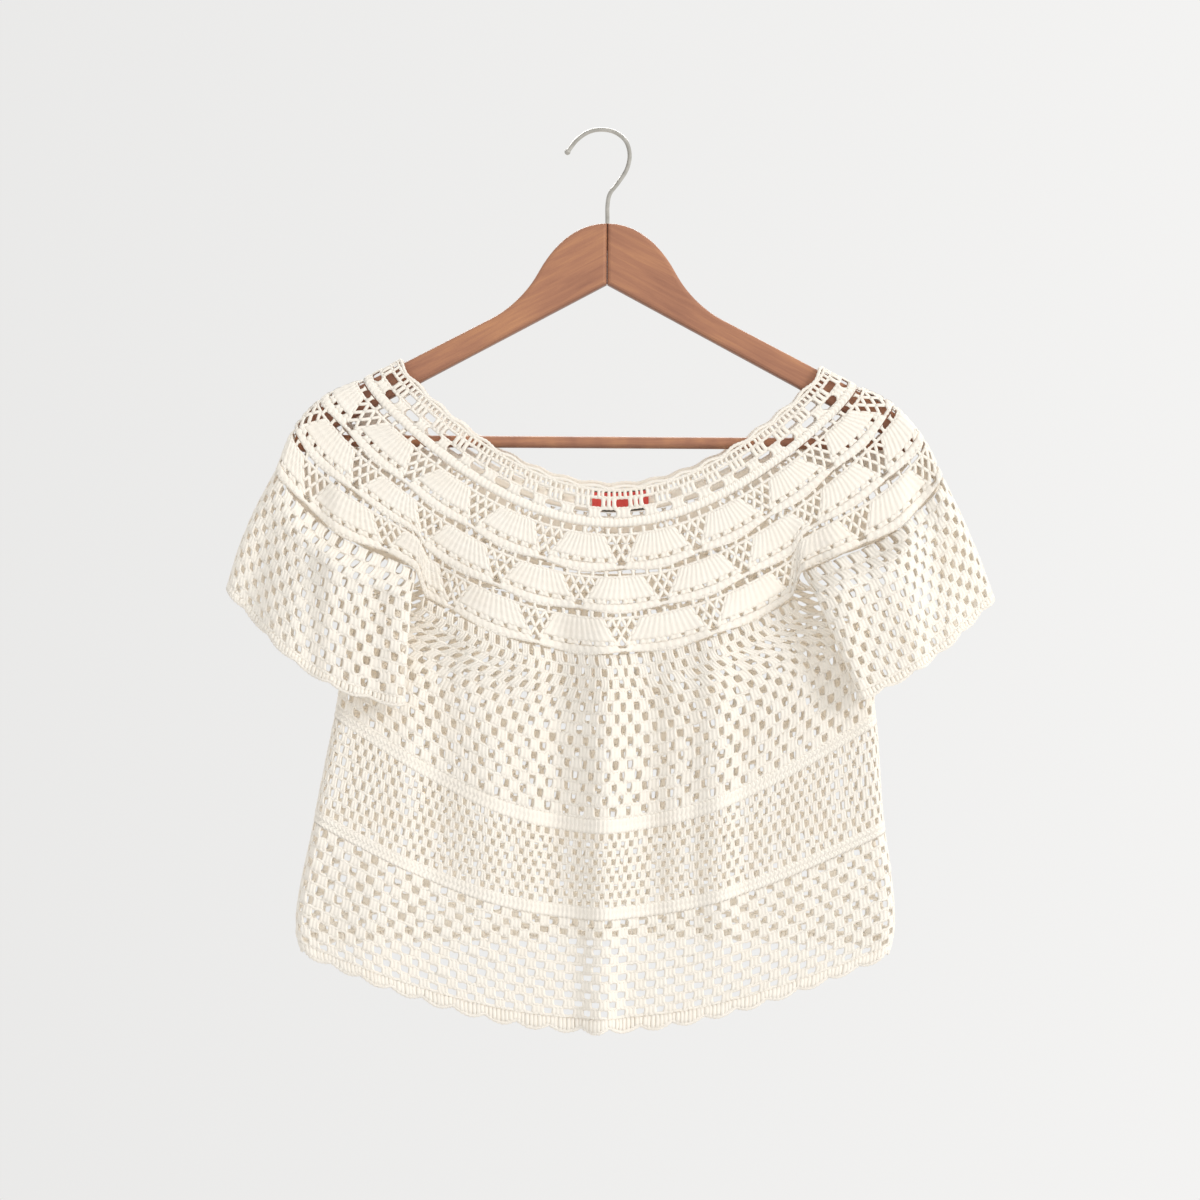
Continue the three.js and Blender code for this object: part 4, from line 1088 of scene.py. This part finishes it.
def chrome_material():
    """Polished plated wire, with the faint haze of handling."""
    material, tree, shader = new_material("chrome")
    shader.inputs["Metallic"].default_value = 1.0
    haze = noise(tree, object_place(tree), 240.0, 2.0)
    tree.links.new(color_ramp(tree, haze, [(0.3, (0.40, 0.385, 0.35)), (0.7, (0.52, 0.50, 0.46))]),
                   shader.inputs["Base Color"])
    tree.links.new(math_node(tree, "MULTIPLY_ADD", haze, 0.12, 0.08), shader.inputs["Roughness"])
    bump(tree, shader, haze, 0.05, 0.0001)
    return material


RIBBON_BLACK = (0.03, 0.025, 0.022)
WARP_THREADS, WEFT_THREADS = 90, 45


def ribbon_material():
    """Red satin ribbon with a narrow black border woven along its two long edges."""
    material, tree, shader = new_material("ribbon")
    along, across = uv_parts(tree, "ribbon")
    from_middle = math_node(tree, "ABSOLUTE", math_node(tree, "SUBTRACT", across, 0.5))
    border = math_node(tree, "GREATER_THAN", from_middle, RIBBON_BORDER)
    patches = noise(tree, object_place(tree), 300.0)
    red = color_ramp(tree, patches, [(0.3, (0.60, 0.045, 0.035)), (0.7, (0.72, 0.065, 0.05))])
    tree.links.new(blend(tree, border, red, RIBBON_BLACK), shader.inputs["Base Color"])
    shader.inputs["Roughness"].default_value = 0.45
    shader.inputs["Sheen Weight"].default_value = 0.3
    warp = math_node(tree, "SINE", math_node(tree, "MULTIPLY", along, 2 * math.pi * WARP_THREADS))
    weft = math_node(tree, "SINE", math_node(tree, "MULTIPLY", across, 2 * math.pi * WEFT_THREADS))
    bump(tree, shader, math_node(tree, "MULTIPLY", warp, weft), 0.3, 0.0001)
    return material


cotton = cotton_material()
for piece in pieces.values():
    piece.data.materials.append(cotton)
label.data.materials.append(ribbon_material())
glue.data.materials.append(glue_material())

ARM_SLOPE = math.radians(28)
ARM_MOTTLES, BAR_MOTTLES = (12, 40, 45), (70, 60, 60)
cad_materials = {
    "hanger_arm_right": wood_material("wood_right_arm", ARM_SLOPE, ARM_MOTTLES),
    "hanger_arm_left": wood_material("wood_left_arm", -ARM_SLOPE, ARM_MOTTLES),
    "hanger_bar": wood_material("wood_bar", 0.0, BAR_MOTTLES),
    "hanger_hook": chrome_material(),
}
for node, material in cad_materials.items():
    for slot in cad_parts[node].material_slots:
        slot.material = material

# ------------------------------------------------------------------ stage

FLOOR_Z, FLOOR_HALF = -1.7, 2.4


def floor():
    material, _, shader = new_material("floor_paint")
    shader.inputs["Base Color"].default_value = (0.78, 0.77, 0.76, 1)
    shader.inputs["Roughness"].default_value = 0.9
    shader.inputs["Specular IOR Level"].default_value = 0.1
    corners = [(x * FLOOR_HALF, y * FLOOR_HALF, FLOOR_Z) for x, y in ((-1, -1), (1, -1), (1, 1), (-1, 1))]
    mesh = bpy.data.meshes.new("floor")
    mesh.from_pydata(corners, [], [(0, 1, 2, 3)])
    mesh.materials.append(material)
    add_object("floor", mesh)


CENTRE = (0, 0, -0.33)


def area_light(name, place, size, power, color):
    """A round lamp that points at the middle of the garment."""
    data = bpy.data.lights.new(name, "AREA")
    data.shape = "DISK"
    data.size = size
    data.energy = power
    data.color = color
    light = add_object(name, data)
    light.location = place
    light.rotation_euler = (Vector(CENTRE) - Vector(place)).to_track_quat("-Z", "Y").to_euler()


# The room's light: its level, and what is added towards the back and towards the wearer's left.
ROOM_LEVEL, ROOM_BEHIND, ROOM_SIDE = 0.93, -0.07, 0.2


def soft_room():
    """A pale room, a little brighter in front of the garment and brightest on the wearer's left."""
    world = bpy.data.worlds.new("room")
    world.use_nodes = True
    tree = world.node_tree
    background = tree.nodes["Background"]
    background.inputs["Color"].default_value = (1.0, 0.995, 0.985, 1)
    place = tree.nodes.new("ShaderNodeTexCoord")
    split = tree.nodes.new("ShaderNodeSeparateXYZ")
    tree.links.new(place.outputs["Generated"], split.inputs[0])
    behind = math_node(tree, "MULTIPLY_ADD", split.outputs["Y"], ROOM_BEHIND, ROOM_LEVEL)
    strength = math_node(tree, "MULTIPLY_ADD", split.outputs["X"], ROOM_SIDE, behind)
    tree.links.new(strength, background.inputs["Strength"])
    return world


floor()
area_light("key", place=(2.3, -1.5, 0.6), size=1.0, power=28, color=(1.0, 0.975, 0.93))
area_light("back", place=(0.0, 2.2, 1.4), size=2.0, power=50, color=(1.0, 0.98, 0.95))
bpy.context.scene.world = soft_room()
bpy.context.scene.view_settings.view_transform = "Standard"
# Light goes between the two sides of the white cloth many times before it leaves.
bpy.context.scene.cycles.diffuse_bounces = 32
bpy.context.scene.cycles.max_bounces = 33
